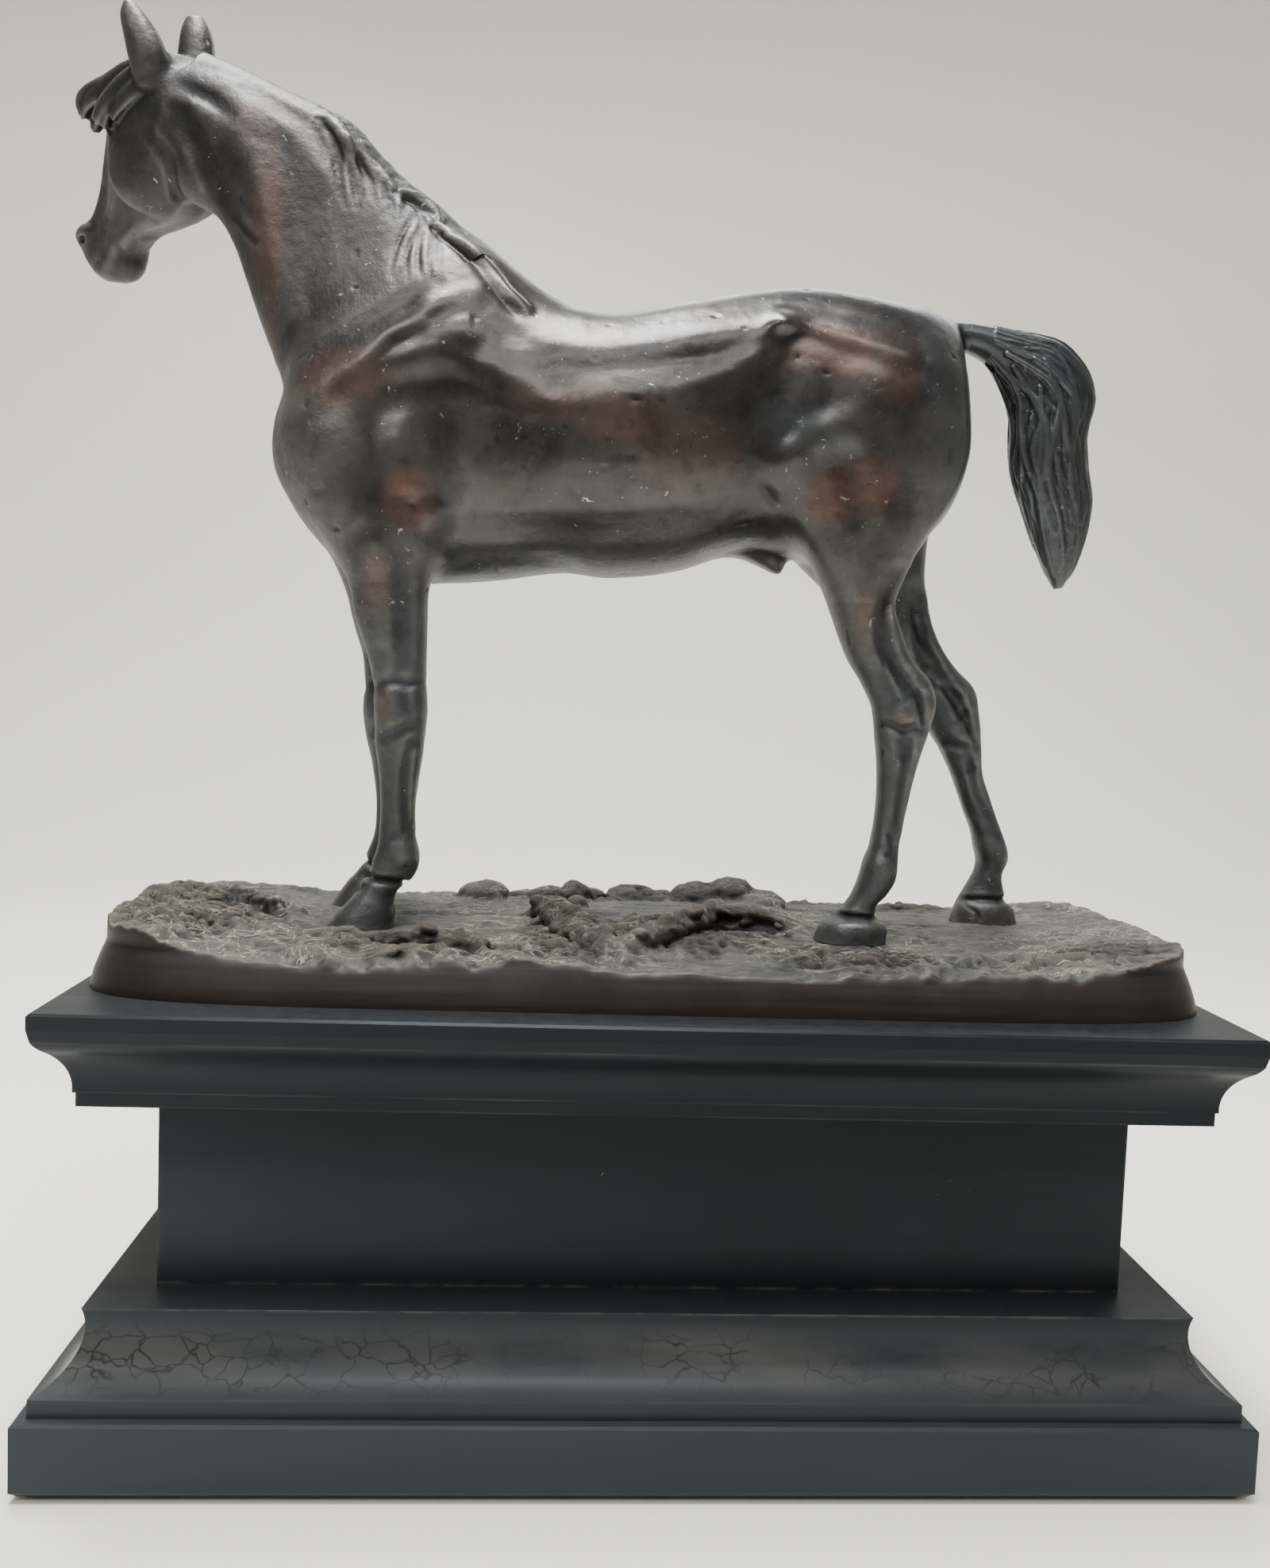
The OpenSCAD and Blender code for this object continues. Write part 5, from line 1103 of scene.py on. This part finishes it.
def ground_piece(slot_name):
    step = 0.75
    clay = Clay((-151, -63, 113), (151, 63, 143), step)
    x, y = np.meshgrid(clay.axes[0], clay.axes[1], indexing="ij")
    z = clay.axes[2][None, None, :]
    high = ground_top(x, y)
    lean = np.clip((z - CAP_TOP) / 10, 0, 1.2) ** 1.4 * GROUND_DRAFT
    away, _ = outline(x, y, GROUND_A, GROUND_B)
    wall = np.clip(away[:, :, None] + lean, -BAND, BAND)
    lid = np.clip((z - high[:, :, None]) * 0.8, -BAND, BAND)
    clay.d = (-melt(-wall, -lid, 0.7)).astype(np.float32)
    for path in (BRANCH, FORK):
        clay.add(tube(path, 18, 0.85, 5, (0, 0, 1)), 1.2)
    clay.add(tube(SPUR, 12, 0.8, 4, (0, 0, 1)), 0.8)
    for at, half in STONES:
        clay.ball(at, half, 1.2)
    # a mound beside the fork with a hollow in its face, knots on the branches and a hollow under them
    clay.ball((28, -4, 129.8), (19, 13, 7.2), 2.6)
    clay.ball((27, -16.5, 132.2), (13, 6.5, 4.8), 2.2, hollow=True)
    clay.ball((-24, -38, 127.4), (9, 5, 2.6), 1.0, hollow=True)
    for at, half in KNOTS:
        clay.ball(at, half, 0.8)
    dice = np.random.RandomState(3)
    for _ in range(150):
        at = np.array([dice.uniform(-140, 140),
                       dice.choice([dice.uniform(-54, -36), dice.uniform(-30, 30), dice.uniform(38, 54)],
                                   p=[0.5, 0.2, 0.3])])
        if dice.rand() < 0.35:
            at = np.array([dice.uniform(-142, -104), dice.uniform(-50, 40)])
        by_hoof = any(abs(at[0] - s[0]) < s[2] + 3 and abs(at[1] - s[1]) < s[3] + 3 for s in SEATS)
        if by_hoof or outline(at[0], at[1], GROUND_A, GROUND_B)[0] > -7:
            continue
        i, j = (int(round(v / step)) - clay.start[a] for a, v in enumerate(at))
        size = dice.uniform(0.7, 2.3)
        clay.ball((at[0], at[1], high[i, j] - 0.4 * size),
                  (size * dice.uniform(0.9, 1.7), size, size * 0.7), 0.5, dice.uniform(-25, 25))
    points, quads = clay.mesh()
    points = points.astype(float)
    n = normals_of(points, quads)
    if n[np.argmax(points[:, 2])][2] < 0:
        quads, n = quads[:, ::-1], -n
    top = np.clip(n[:, 2] * 1.6 - 0.3, 0, 1)
    inside = np.clip((outline(points[:, 0], points[:, 1], GROUND_A, GROUND_B)[0] + 3.4) / -1.5, 0, 1)
    wild = np.zeros(len(points))
    for at, half in WILD:
        wild = np.maximum(wild,
                          np.clip(1.5 * (1 - ((points[:, 0] - at[0]) / half[0]) ** 2
                                         - ((points[:, 1] - at[1]) / half[1]) ** 2), 0, 1))
    seat = np.ones(len(points))
    for sx, sy, ha, hb in SEATS:
        seat = np.minimum(seat,
                          np.clip(2 * np.hypot((points[:, 0] - sx) / ha, (points[:, 1] - sy) / hb) - 2, 0,
                                  1))
    rough = 0.3 * np.abs(noise(points, 4.2, 61, 3)) + 0.16 * noise(points, 1.8, 63, 2)
    gnarl = (1.7 * (0.42 - np.abs(noise(points, 8, 75, 3)))
             + 1.3 * (0.36 - np.abs(noise(points, 3.6, 77, 2))))
    chips = np.clip(noise(points, 6.0, 67, 2) - 0.38, 0, 1) * -2.2
    shelter = np.clip(n[:, 2] * 3 + 1, 0, 1) * inside * seat
    points = points + n * ((rough * top + wild * gnarl + chips * top) * shelter
                           + 0.05 * noise(points, (30, 30, 1.6), 65, 2) * (1 - top))[:, None]
    n = normals_of(points, quads)
    sunk, raised = hollows(points, quads, n, 8, 0.35)
    top = np.clip(n[:, 2] * 2.2 - 0.4, 0, 1) * np.maximum(inside, 0.2)
    # rubbed: the ground's rubbed raised places, with a painted highlight along the rim
    paints = {
        "rubbed": np.clip(
            0.8 * raised * np.maximum(top, 0.4) + 0.15 * noise(points, 18, 73, 3) * top, 0, 1),
        "cool": top,
        "hollow": sunk,
        "rocky": np.clip(wild + 0.2, 0, 1) * top,
    }
    return hollow_shell("ground_casting_skin", points, quads, paints, slot_name)


def hollow_shell(name, points, quads, paints, slot_name):
    """The ground casting: cut level with the plinth and hollowed from below."""
    mesh = bpy.data.meshes.new(name)
    mesh.from_pydata((points * MM).tolist(), [], quads.tolist())
    for key, values in paints.items():
        mesh.attributes.new(key, "FLOAT", "POINT").data.foreach_set("value", values.astype(np.float32))
    work = bmesh.new()
    work.from_mesh(mesh)
    found = bmesh.ops.bisect_plane(
        work, geom=work.verts[:] + work.edges[:] + work.faces[:], dist=1e-7,
        plane_co=Vector((0, 0, CAP_TOP)) * MM,
        plane_no=Vector((0, 0, 1)), clear_inner=True)
    rim = [e for e in found["geom_cut"] if isinstance(e, bmesh.types.BMEdge)]
    for f in work.faces:
        f.smooth = True
    inset = GROUND_WALL + GROUND_DRAFT
    a, b, loops = GROUND_A - inset, GROUND_B - inset, []
    for z in (CAP_TOP, GROUND_CEILING):
        ring = []
        for i in range(96):
            t = 2 * math.pi * i / 96
            c, s = math.cos(t), math.sin(t)
            k = (abs(c) ** GROUND_ROUND + abs(s) ** GROUND_ROUND) ** (-1 / GROUND_ROUND)
            ring.append(work.verts.new((a * c * k * MM, b * s * k * MM, z * MM)))
        loops.append(ring)
    low, high = loops
    inner = [work.edges.new((low[i], low[(i + 1) % 96])) for i in range(96)]
    for i in range(96):
        work.faces.new((low[i], low[(i + 1) % 96], high[(i + 1) % 96], high[i]))
    work.faces.new(high)
    bmesh.ops.triangle_fill(work, use_beauty=True, edges=rim + inner, normal=(0, 0, -1))
    for e in rim:
        e.smooth = False
    bmesh.ops.recalc_face_normals(work, faces=work.faces)
    work.to_mesh(mesh)
    work.free()
    piece = bpy.data.objects.new(name, mesh)
    bpy.context.scene.collection.objects.link(piece)
    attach(piece, "root")
    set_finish(piece, slot_name)
    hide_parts("ground_casting")
    return piece


# ---------------------------------------------------------------------------
# Finishes
# ---------------------------------------------------------------------------
class Finish:
    """A small builder for procedural materials."""

    def __init__(self, name):
        self.material = bpy.data.materials.new(name)
        self.material.use_nodes = True
        self.tree = self.material.node_tree
        self.tree.nodes.clear()
        self.out = self.tree.nodes.new("ShaderNodeOutputMaterial")
        self.shader = self.tree.nodes.new("ShaderNodeBsdfPrincipled")
        self.tree.links.new(self.shader.outputs[0], self.out.inputs[0])
        self.place = self.tree.nodes.new("ShaderNodeTexCoord").outputs["Object"]

    def new(self, kind, **inputs):
        node = self.tree.nodes.new(kind)
        for key, value in inputs.items():
            self.set(node, key, value)
        return node

    def set(self, node, key, value):
        socket = node.inputs[int(key[1:])] if key[0] == "_" else node.inputs[key.replace("_", " ")]
        if isinstance(value, bpy.types.NodeSocket):
            self.tree.links.new(value, socket)
        else:
            socket.default_value = value

    def noise(self, scale, detail=4.0, rough=0.55, distortion=0.0, where=None):
        node = self.new("ShaderNodeTexNoise", Scale=scale, Detail=detail, Roughness=rough,
                        Distortion=distortion)
        self.set(node, "Vector", where or self.place)
        return node.outputs[0]

    def stretch(self, scale, turn=(0, 0, 0)):
        node = self.new("ShaderNodeMapping", Scale=scale, Rotation=turn)
        self.set(node, "Vector", self.place)
        return node.outputs[0]

    def ramp(self, value, *stops):
        """Maps a value through (position, colour or grey) stops."""
        node = self.new("ShaderNodeValToRGB", Fac=value)
        while len(node.color_ramp.elements) < len(stops):
            node.color_ramp.elements.new(0.5)
        for e, (at, colour) in zip(node.color_ramp.elements, stops):
            e.position = at
            e.color = (colour,) * 3 + (1,) if isinstance(colour, (int, float)) else tuple(colour) + (1,)
        return node.outputs[0]

    def mix(self, a, b, amount, kind="MIX"):
        node = self.tree.nodes.new("ShaderNodeMix")
        node.data_type, node.blend_type = "RGBA", kind
        for socket, value in ((node.inputs[0], amount), (node.inputs[6], a), (node.inputs[7], b)):
            if isinstance(value, bpy.types.NodeSocket):
                self.tree.links.new(value, socket)
            else:
                socket.default_value = value if isinstance(value, (int, float)) else tuple(value) + (1,)
        return node.outputs[2]

    def sum(self, a, b, kind="ADD"):
        node = self.new("ShaderNodeMath", _0=a, _1=b)
        node.operation = kind
        return node.outputs[0]

    def attribute(self, name):
        node = self.tree.nodes.new("ShaderNodeAttribute")
        node.attribute_name = name
        return node.outputs["Fac"]

    def warp(self, scale, reach):
        """A small wandering offset."""
        node = self.new("ShaderNodeTexNoise", Scale=float(scale), Detail=3.0, Roughness=0.5)
        self.set(node, "Vector", self.place)
        moved = self.new("ShaderNodeVectorMath", _0=node.outputs[1], _1=(0.5, 0.5, 0.5))
        moved.operation = "SUBTRACT"
        scaled = self.new("ShaderNodeVectorMath", _0=moved.outputs[0])
        scaled.operation = "SCALE"
        scaled.inputs["Scale"].default_value = reach
        return scaled.outputs[0]

    def bump(self, height, strength, distance, before=None):
        node = self.new("ShaderNodeBump", Strength=strength, Distance=distance * MM, Height=height)
        if before is not None:
            self.set(node, "Normal", before)
        return node.outputs[0]

    def done(self, **inputs):
        for key, value in inputs.items():
            self.set(self.shader, key, value)
        return self.material


def bronze_finish(name):
    """Patinated bronze: dark patina in the hollows with painted shade under down-facing parts, rubbed brown
    high parts, cool grey wax, pits and dust.
    """
    f = Finish(name)
    cloud = f.noise(26, 5, 0.6, 0.4)
    fine = f.noise(190, 6, 0.65)
    grey = f.attribute("grey")
    dark = f.mix((0.009, 0.009, 0.0105), (0.007, 0.008, 0.0095), grey)
    mid = f.mix((0.06, 0.053, 0.048), (0.029, 0.031, 0.033), grey)
    red = f.mix((0.14, 0.06, 0.037), (0.1, 0.048, 0.03), grey)
    cool = f.mix((0.056, 0.064, 0.069), (0.05, 0.058, 0.065), grey)
    base = f.mix(dark, mid, f.ramp(cloud, (0.36, 0.0), (0.6, 1.0)))
    mottle = f.noise(85, 6, 0.7, 0.5)
    base = f.mix(base, red,
                 f.sum(f.attribute("rubbed"), f.ramp(mottle, (0.32, 0.3), (0.55, 1.0)), "MULTIPLY"))
    base = f.mix(base, cool,
                 f.sum(f.attribute("cool"), f.ramp(mottle, (0.35, 1.0), (0.7, 0.55)), "MULTIPLY"))
    base = f.mix(base, dark, f.ramp(f.noise(140, 5, 0.7), (0.3, 0.6), (0.5, 0.0)))
    # the hollow attribute darkens the patina in the hollows and also holds painted shade under down-facing
    # parts
    base = f.mix(base, dark, f.sum(f.attribute("hollow"), 0.85, "MULTIPLY"))
    specks = f.ramp(f.noise(400, 3, 0.75, 0.6), (0.67, 0.0), (0.7, 1.0))
    patchy = f.ramp(f.noise(38, 3, 0.5), (0.44, 0.0), (0.6, 0.75))
    base = f.mix(base, (0.5, 0.49, 0.46), f.sum(specks, patchy, "MULTIPLY"))
    base = f.mix(base, (0.2, 0.2, 0.19),
                 f.sum(f.attribute("worn"), f.ramp(mottle, (0.35, 0.1), (0.6, 0.5)), "MULTIPLY"))
    polish = f.attribute("polish")
    dull = f.sum(1.0, polish, "SUBTRACT")
    rough = f.ramp(f.sum(f.sum(fine, cloud, "ADD"), 0.5, "MULTIPLY"), (0.3, 0.42), (0.7, 0.56))
    rough = f.sum(rough, f.sum(polish, -0.2, "MULTIPLY"))
    pits = f.ramp(f.noise(330, 3, 0.6), (0.24, 0.0), (0.31, 1.0))
    normal = f.bump(pits, 0.3, 0.22)
    normal = f.bump(fine, f.sum(f.sum(dull, 0.3, "MULTIPLY"), 0.08), 0.4, normal)
    normal = f.bump(f.noise(95, 5, 0.65), f.sum(f.sum(dull, 0.3, "MULTIPLY"), 0.1), 1.2, normal)
    return f.done(Base_Color=base, Metallic=0.55, Roughness=rough, Normal=normal, Specular_IOR_Level=0.75)


def lacquer_finish():
    """Black satin lacquer: faint grain, worn edges, dust in the corners, a crazed film on the foot."""
    f = Finish("black_lacquer")
    cloud = f.noise(14, 4, 0.55)
    split = f.new("ShaderNodeSeparateXYZ", Vector=f.place)
    height = split.outputs[2]
    # the film has gone a little grey on the slab and the mouldings, and stays blackest on the box
    aged = f.ramp(f.sum(height, 1 / 0.12, "MULTIPLY"), (0.15, 1.0), (0.36, 0.45), (0.4, 0.0), (0.74, 0.0),
                  (0.8, 0.15))
    base = f.mix((0.0035, 0.0041, 0.005), (0.0265, 0.031, 0.036), aged)
    base = f.mix(base, (0.012, 0.0145, 0.018), f.ramp(cloud, (0.45, 0.0), (0.85, 0.5)))
    # painted light towards the head end of the box, fading with height into painted shade below the cap
    painted_light_head_end = f.ramp(f.sum(f.sum(split.outputs[0], 3.3, "MULTIPLY"), 0.5), (0.0, 1.0), (0.25, 0.5),
                   (0.6, 0.15))
    painted_light_head_end = f.sum(painted_light_head_end, f.ramp(f.sum(height, 1 / 0.12, "MULTIPLY"), (0.5, 1.0), (0.75, 0.35)), "MULTIPLY")
    base = f.mix(base, (0.036, 0.041, 0.047), f.sum(painted_light_head_end, 0.8, "MULTIPLY"))
    # the crazed film lies on the cove of the foot moulding
    cove = f.ramp(f.sum(height, 1 / 0.06, "MULTIPLY"), (0.38, 0.0), (0.45, 1.0), (0.56, 1.0), (0.66, 0.0))
    bloom = f.sum(cove, f.ramp(f.noise(22, 4, 0.6, 0.0, f.stretch((0.5, 1, 2))), (0.36, 0.0), (0.62, 1.0)),
                  "MULTIPLY")
    bent_place = f.new("ShaderNodeVectorMath", _0=f.stretch((0.55, 0.8, 1)), _1=f.warp(90, 0.008))
    bent_place.operation = "ADD"
    cells = f.new("ShaderNodeTexVoronoi", Vector=bent_place.outputs[0], Scale=230.0)
    cells.feature = "DISTANCE_TO_EDGE"
    crack = f.ramp(cells.outputs["Distance"], (0.0, 0.8), (0.06, 0.0))
    crack = f.sum(f.sum(crack, bloom, "MULTIPLY"), f.ramp(f.noise(45, 3, 0.6), (0.42, 0.0), (0.56, 1.0)),
                  "MULTIPLY")
    base = f.mix(base, (0.062, 0.062, 0.06), f.sum(bloom, 0.85, "MULTIPLY"))
    base = f.mix(base, (0.004, 0.004, 0.004), crack)
    # dust lies along the tops of the steps and in the corners
    tops = f.new("ShaderNodeSeparateXYZ",
                 Vector=f.new("ShaderNodeNewGeometry").outputs["Normal"]).outputs[2]
    level = f.ramp(tops, (0.75, 0.0), (0.95, 1.0))
    film = f.ramp(f.noise(300, 6, 0.75), (0.4, 0.0), (0.75, 0.5))
    base = f.mix(base, (0.035, 0.035, 0.034), f.sum(level, film, "MULTIPLY"))
    corner = f.ramp(f.sum(height, 1 / 0.06, "MULTIPLY"), (0.69, 0.0), (0.702, 0.7), (0.708, 0.7),
                    (0.716, 0.0))
    corner = f.sum(corner, f.ramp(f.noise(120, 4, 0.6), (0.4, 0.0), (0.6, 1.0)), "MULTIPLY")
    corner = f.sum(corner, f.sum(1.0, level, "SUBTRACT"), "MULTIPLY")
    base = f.mix(base, (0.12, 0.11, 0.1), corner)
    specks = f.ramp(f.noise(520, 3, 0.75, 0.8), (0.735, 0.0), (0.76, 1.0))
    patchy = f.ramp(f.noise(24, 3, 0.5), (0.5, 0.0), (0.62, 0.6))
    base = f.mix(base, (0.32, 0.32, 0.31), f.sum(specks, patchy, "MULTIPLY"))
    # pale worn edges
    edge_bevel = f.new("ShaderNodeBevel", Radius=0.9 * MM)
    turned = f.new("ShaderNodeVectorMath", _0=edge_bevel.outputs[0],
                   _1=f.new("ShaderNodeNewGeometry").outputs["Normal"])
    turned.operation = "DOT_PRODUCT"
    worn = f.ramp(turned.outputs["Value"], (0.86, 1.0), (0.985, 0.0))
    worn = f.sum(worn,
                 f.ramp(f.noise(55, 5, 0.7, 0.0, f.stretch((0.3, 0.3, 1))), (0.42, 0.05), (0.66, 0.75)),
                 "MULTIPLY")
    base = f.mix(base, (0.07, 0.068, 0.064), worn)
    grain = f.noise(60, 5, 0.6, 0.2, f.stretch((0.12, 1, 2.5)))
    rough = f.sum(f.ramp(grain, (0.3, 0.3), (0.7, 0.42)), f.sum(level, 0.12, "MULTIPLY"))
    normal = f.bump(grain, 0.06, 0.3)
    normal = f.bump(crack, -0.35, 0.25, normal)
    normal = f.bump(f.noise(38, 3, 0.5), 0.08, 1.0, normal)
    return f.done(Base_Color=base, Metallic=0.0, Roughness=rough, Normal=normal, Specular_IOR_Level=0.13,
                  Specular_Tint=(0.84, 0.93, 1.0, 1.0))


def ground_finish():
    """The cast ground: a reddish wall with fine level scratches, a rubbed rim with a painted highlight
    along it, and a dusty, webbed top.
    """
    f = Finish("ground_bronze")
    cloud = f.noise(30, 5, 0.6, 0.4)
    top = f.attribute("cool")
    scratches = f.noise(120, 5, 0.65, 0.3, f.stretch((0.06, 0.06, 3.2)))
    wall = f.mix((0.006, 0.0045, 0.0042), (0.02, 0.0115, 0.009),
                 f.ramp(scratches, (0.38, 0.0), (0.66, 1.0)))
    wall = f.mix(wall, (0.014, 0.0135, 0.013), f.ramp(f.noise(18, 3, 0.5), (0.45, 0.0), (0.62, 0.45)))
    earth = f.mix((0.018, 0.0215, 0.0215), (0.075, 0.076, 0.066), f.ramp(cloud, (0.36, 0.0), (0.62, 1.0)))
    earth = f.mix(earth, (0.125, 0.12, 0.1), f.ramp(f.noise(150, 6, 0.75), (0.5, 0.0), (0.75, 0.7)))
    base = f.mix(wall, earth, top)
    # rubbed raised places, and a painted highlight along the rim
    base = f.mix(base, (0.11, 0.088, 0.072), f.attribute("rubbed"))
    crag = f.noise(125, 8, 0.7, 0.4)
    rocky = f.attribute("rocky")
    base = f.mix(base, (0.008, 0.009, 0.0095),
                 f.sum(f.ramp(crag, (0.36, 0.95), (0.47, 0.0)), rocky, "MULTIPLY"))
    base = f.mix(base, (0.004, 0.0045, 0.005), f.sum(f.attribute("hollow"), 0.9, "MULTIPLY"))
    # fine pale webs and dust on the level parts
    web = f.noise(85, 4, 0.55, 1.2, f.stretch((0.5, 1.6, 1)))
    web = f.ramp(web, (0.484, 0.0), (0.5, 1.0), (0.516, 0.0))
    second = f.noise(60, 4, 0.55, 1.6, f.stretch((1.3, 0.8, 1)))
    web = f.sum(web, f.ramp(second, (0.492, 0.0), (0.5, 1.0), (0.508, 0.0)), "MAXIMUM")
    patch = f.ramp(f.noise(16, 3, 0.5), (0.42, 0.1), (0.58, 0.9))
    level = f.ramp(top, (0.45, 0.0), (0.95, 1.0))
    web = f.sum(f.sum(web, patch, "MULTIPLY"), level, "MULTIPLY")
    base = f.mix(base, (0.36, 0.33, 0.255), web)
    haze = f.sum(f.sum(f.ramp(f.noise(70, 6, 0.75), (0.5, 0.0), (0.8, 0.5)), patch, "MULTIPLY"), level,
                 "MULTIPLY")
    base = f.mix(base, (0.2, 0.187, 0.15), haze)
    rough = f.sum(f.ramp(cloud, (0.3, 0.36), (0.7, 0.5)), f.sum(top, 0.2, "MULTIPLY"))
    grains = f.noise(420, 5, 0.7)
    normal = f.bump(grains, f.sum(top, 0.35, "MULTIPLY"), 0.35)
    normal = f.bump(scratches, 0.1, 0.25, normal)
    normal = f.bump(crag, f.sum(f.sum(rocky, 0.7, "MULTIPLY"), f.sum(top, 0.2, "MULTIPLY")), 5.5, normal)
    return f.done(Base_Color=base, Metallic=0.2, Roughness=rough, Normal=normal, Specular_IOR_Level=0.4)


def plain_finish(name, a, b, metallic, rough, scale):
    """A simple two-tone finish for the hidden pieces."""
    f = Finish(name)
    grain = f.noise(scale, 5, 0.6, 0.3, f.stretch((1, 1, 0.15)))
    base = f.mix(a, b, f.ramp(grain, (0.35, 0.0), (0.65, 1.0)))
    return f.done(Base_Color=base, Metallic=metallic, Roughness=rough, Normal=f.bump(grain, 0.2, 0.2))


# ---------------------------------------------------------------------------
# Stage
# ---------------------------------------------------------------------------
CAMERA_AT = (-29.1, -387.0, 197.5)
CAMERA_YAW, CAMERA_DIP, CAMERA_ROLL = 3.524, 3.937, 2.135


def place_camera():
    yaw, dip, roll = (math.radians(v) for v in (CAMERA_YAW, CAMERA_DIP, CAMERA_ROLL))
    ahead = Vector((math.sin(yaw) * math.cos(dip), math.cos(yaw) * math.cos(dip), -math.sin(dip)))
    right = Vector((math.cos(yaw), -math.sin(yaw), 0))
    up = right.cross(ahead)
    right, up = right * math.cos(roll) + up * math.sin(roll), up * math.cos(roll) - right * math.sin(roll)
    camera = bpy.data.objects.new("camera", bpy.data.cameras.new("camera"))
    camera.data.sensor_width, camera.data.lens = 36, 30.68
    camera.data.clip_start, camera.data.clip_end = 0.01, 20
    turned = Matrix((right, up, -ahead)).transposed().to_4x4()
    camera.matrix_world = Matrix.Translation(Vector(CAMERA_AT) * MM) @ turned
    bpy.context.scene.collection.objects.link(camera)
    bpy.context.scene.camera = camera


def sweep_floor():
    """A pale round floor that curves up into the background all round."""
    centre, reach, bend, sides = (0.0, -2.3), 4.0, 0.8, 96
    profile = [(reach - bend, 0.0)]
    profile += [(reach - bend + bend * math.sin(a), bend - bend * math.cos(a))
                for a in np.linspace(0.1, math.pi / 2, 14)]
    profile += [(reach, 3.5)]
    points = [(*centre, -0.0002)]
    for r, z in profile:
        points += [(centre[0] + r * math.cos(2 * math.pi * i / sides),
                    centre[1] + r * math.sin(2 * math.pi * i / sides), z - 0.0002)
                   for i in range(sides)]
    faces = [(0, 1 + i, 1 + (i + 1) % sides) for i in range(sides)]
    for k in range(len(profile) - 1):
        low, high = 1 + k * sides, 1 + (k + 1) * sides
        faces += [(low + i, high + i, high + (i + 1) % sides, low + (i + 1) % sides) for i in range(sides)]
    mesh = bpy.data.meshes.new("floor")
    mesh.from_pydata(points, [], faces)
    for p in mesh.polygons:
        p.use_smooth = True
    floor = bpy.data.objects.new("floor", mesh)
    bpy.context.scene.collection.objects.link(floor)
    f = Finish("floor")
    tone = f.mix((0.86, 0.85, 0.785), (0.89, 0.88, 0.815), f.noise(3, 3, 0.5))
    floor.data.materials.append(f.done(Base_Color=tone, Roughness=0.7))


def area_light(name, at, aim, size, power, colour=(1, 1, 1)):
    lamp = bpy.data.lights.new(name, "AREA")
    lamp.shape, lamp.size, lamp.size_y = "RECTANGLE", size[0], size[1]
    lamp.energy, lamp.color = power, colour
    light = bpy.data.objects.new(name, lamp)
    at, aim = Vector(at), Vector(aim)
    light.matrix_world = Matrix.Translation(at) @ (at - aim).to_track_quat("Z", "Y").to_matrix().to_4x4()
    bpy.context.scene.collection.objects.link(light)


def light_stage():
    world = bpy.data.worlds.new("studio")
    world.use_nodes = True
    back = world.node_tree.nodes["Background"]
    back.inputs[0].default_value, back.inputs[1].default_value = (0.86, 0.93, 1.0, 1), 0.16
    bpy.context.scene.world = world
    area_light("sky", (-0.15, 0.0, 1.35), (0, 0.05, 0), (1.0, 0.4), 46, (1.0, 0.985, 0.96))
    area_light("front", (-0.9, -1.3, 1.5), (0, 0, 0.2), (0.5, 0.5), 9, (1.0, 0.98, 0.95))
    area_light("strip", (0.1, -1.0, 1.35), (0, 0, 0.25), (1.2, 0.25), 7, (1.0, 0.985, 0.95))
    area_light("rear", (0.5, 1.2, 1.3), (0, 0, 0.3), (1.2, 0.6), 9, (0.95, 0.98, 1.0))


# ---------------------------------------------------------------------------
# Putting it together
# ---------------------------------------------------------------------------
finishes = {
    "body_bronze": bronze_finish("body_bronze"),
    "dark_bronze": bronze_finish("dark_bronze"),
    "ground_bronze": ground_finish(),
    "black_lacquer": lacquer_finish(),
    "raw_wood": plain_finish("raw_wood", (0.42, 0.27, 0.14), (0.55, 0.37, 0.2), 0.0, 0.7, 90),
    "baize": plain_finish("baize", (0.02, 0.07, 0.04), (0.04, 0.11, 0.06), 0.0, 0.95, 900),
    "steel_fixings": plain_finish("steel_fixings", (0.42, 0.42, 0.43), (0.6, 0.6, 0.6), 1.0, 0.35, 300),
}
slots = {s["node"]: s["material_slot"] for s in frame["record"]["subparts"]}

pieces = horse_pieces() + [ground_piece("ground_bronze")]
for piece in pieces:
    piece.data.materials.clear()
    piece.data.materials.append(finishes[piece["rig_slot"]])
for node, shown in frame["nodes"].items():
    shown.data.materials.clear()
    shown.data.materials.append(finishes[slots[node]])
    if slots[node] == "black_lacquer":
        rounded = shown.modifiers.new("rounded", "BEVEL")
        rounded.width, rounded.segments, rounded.limit_method = 0.35 * MM, 3, "ANGLE"
        rounded.harden_normals = True

sweep_floor()
light_stage()
place_camera()
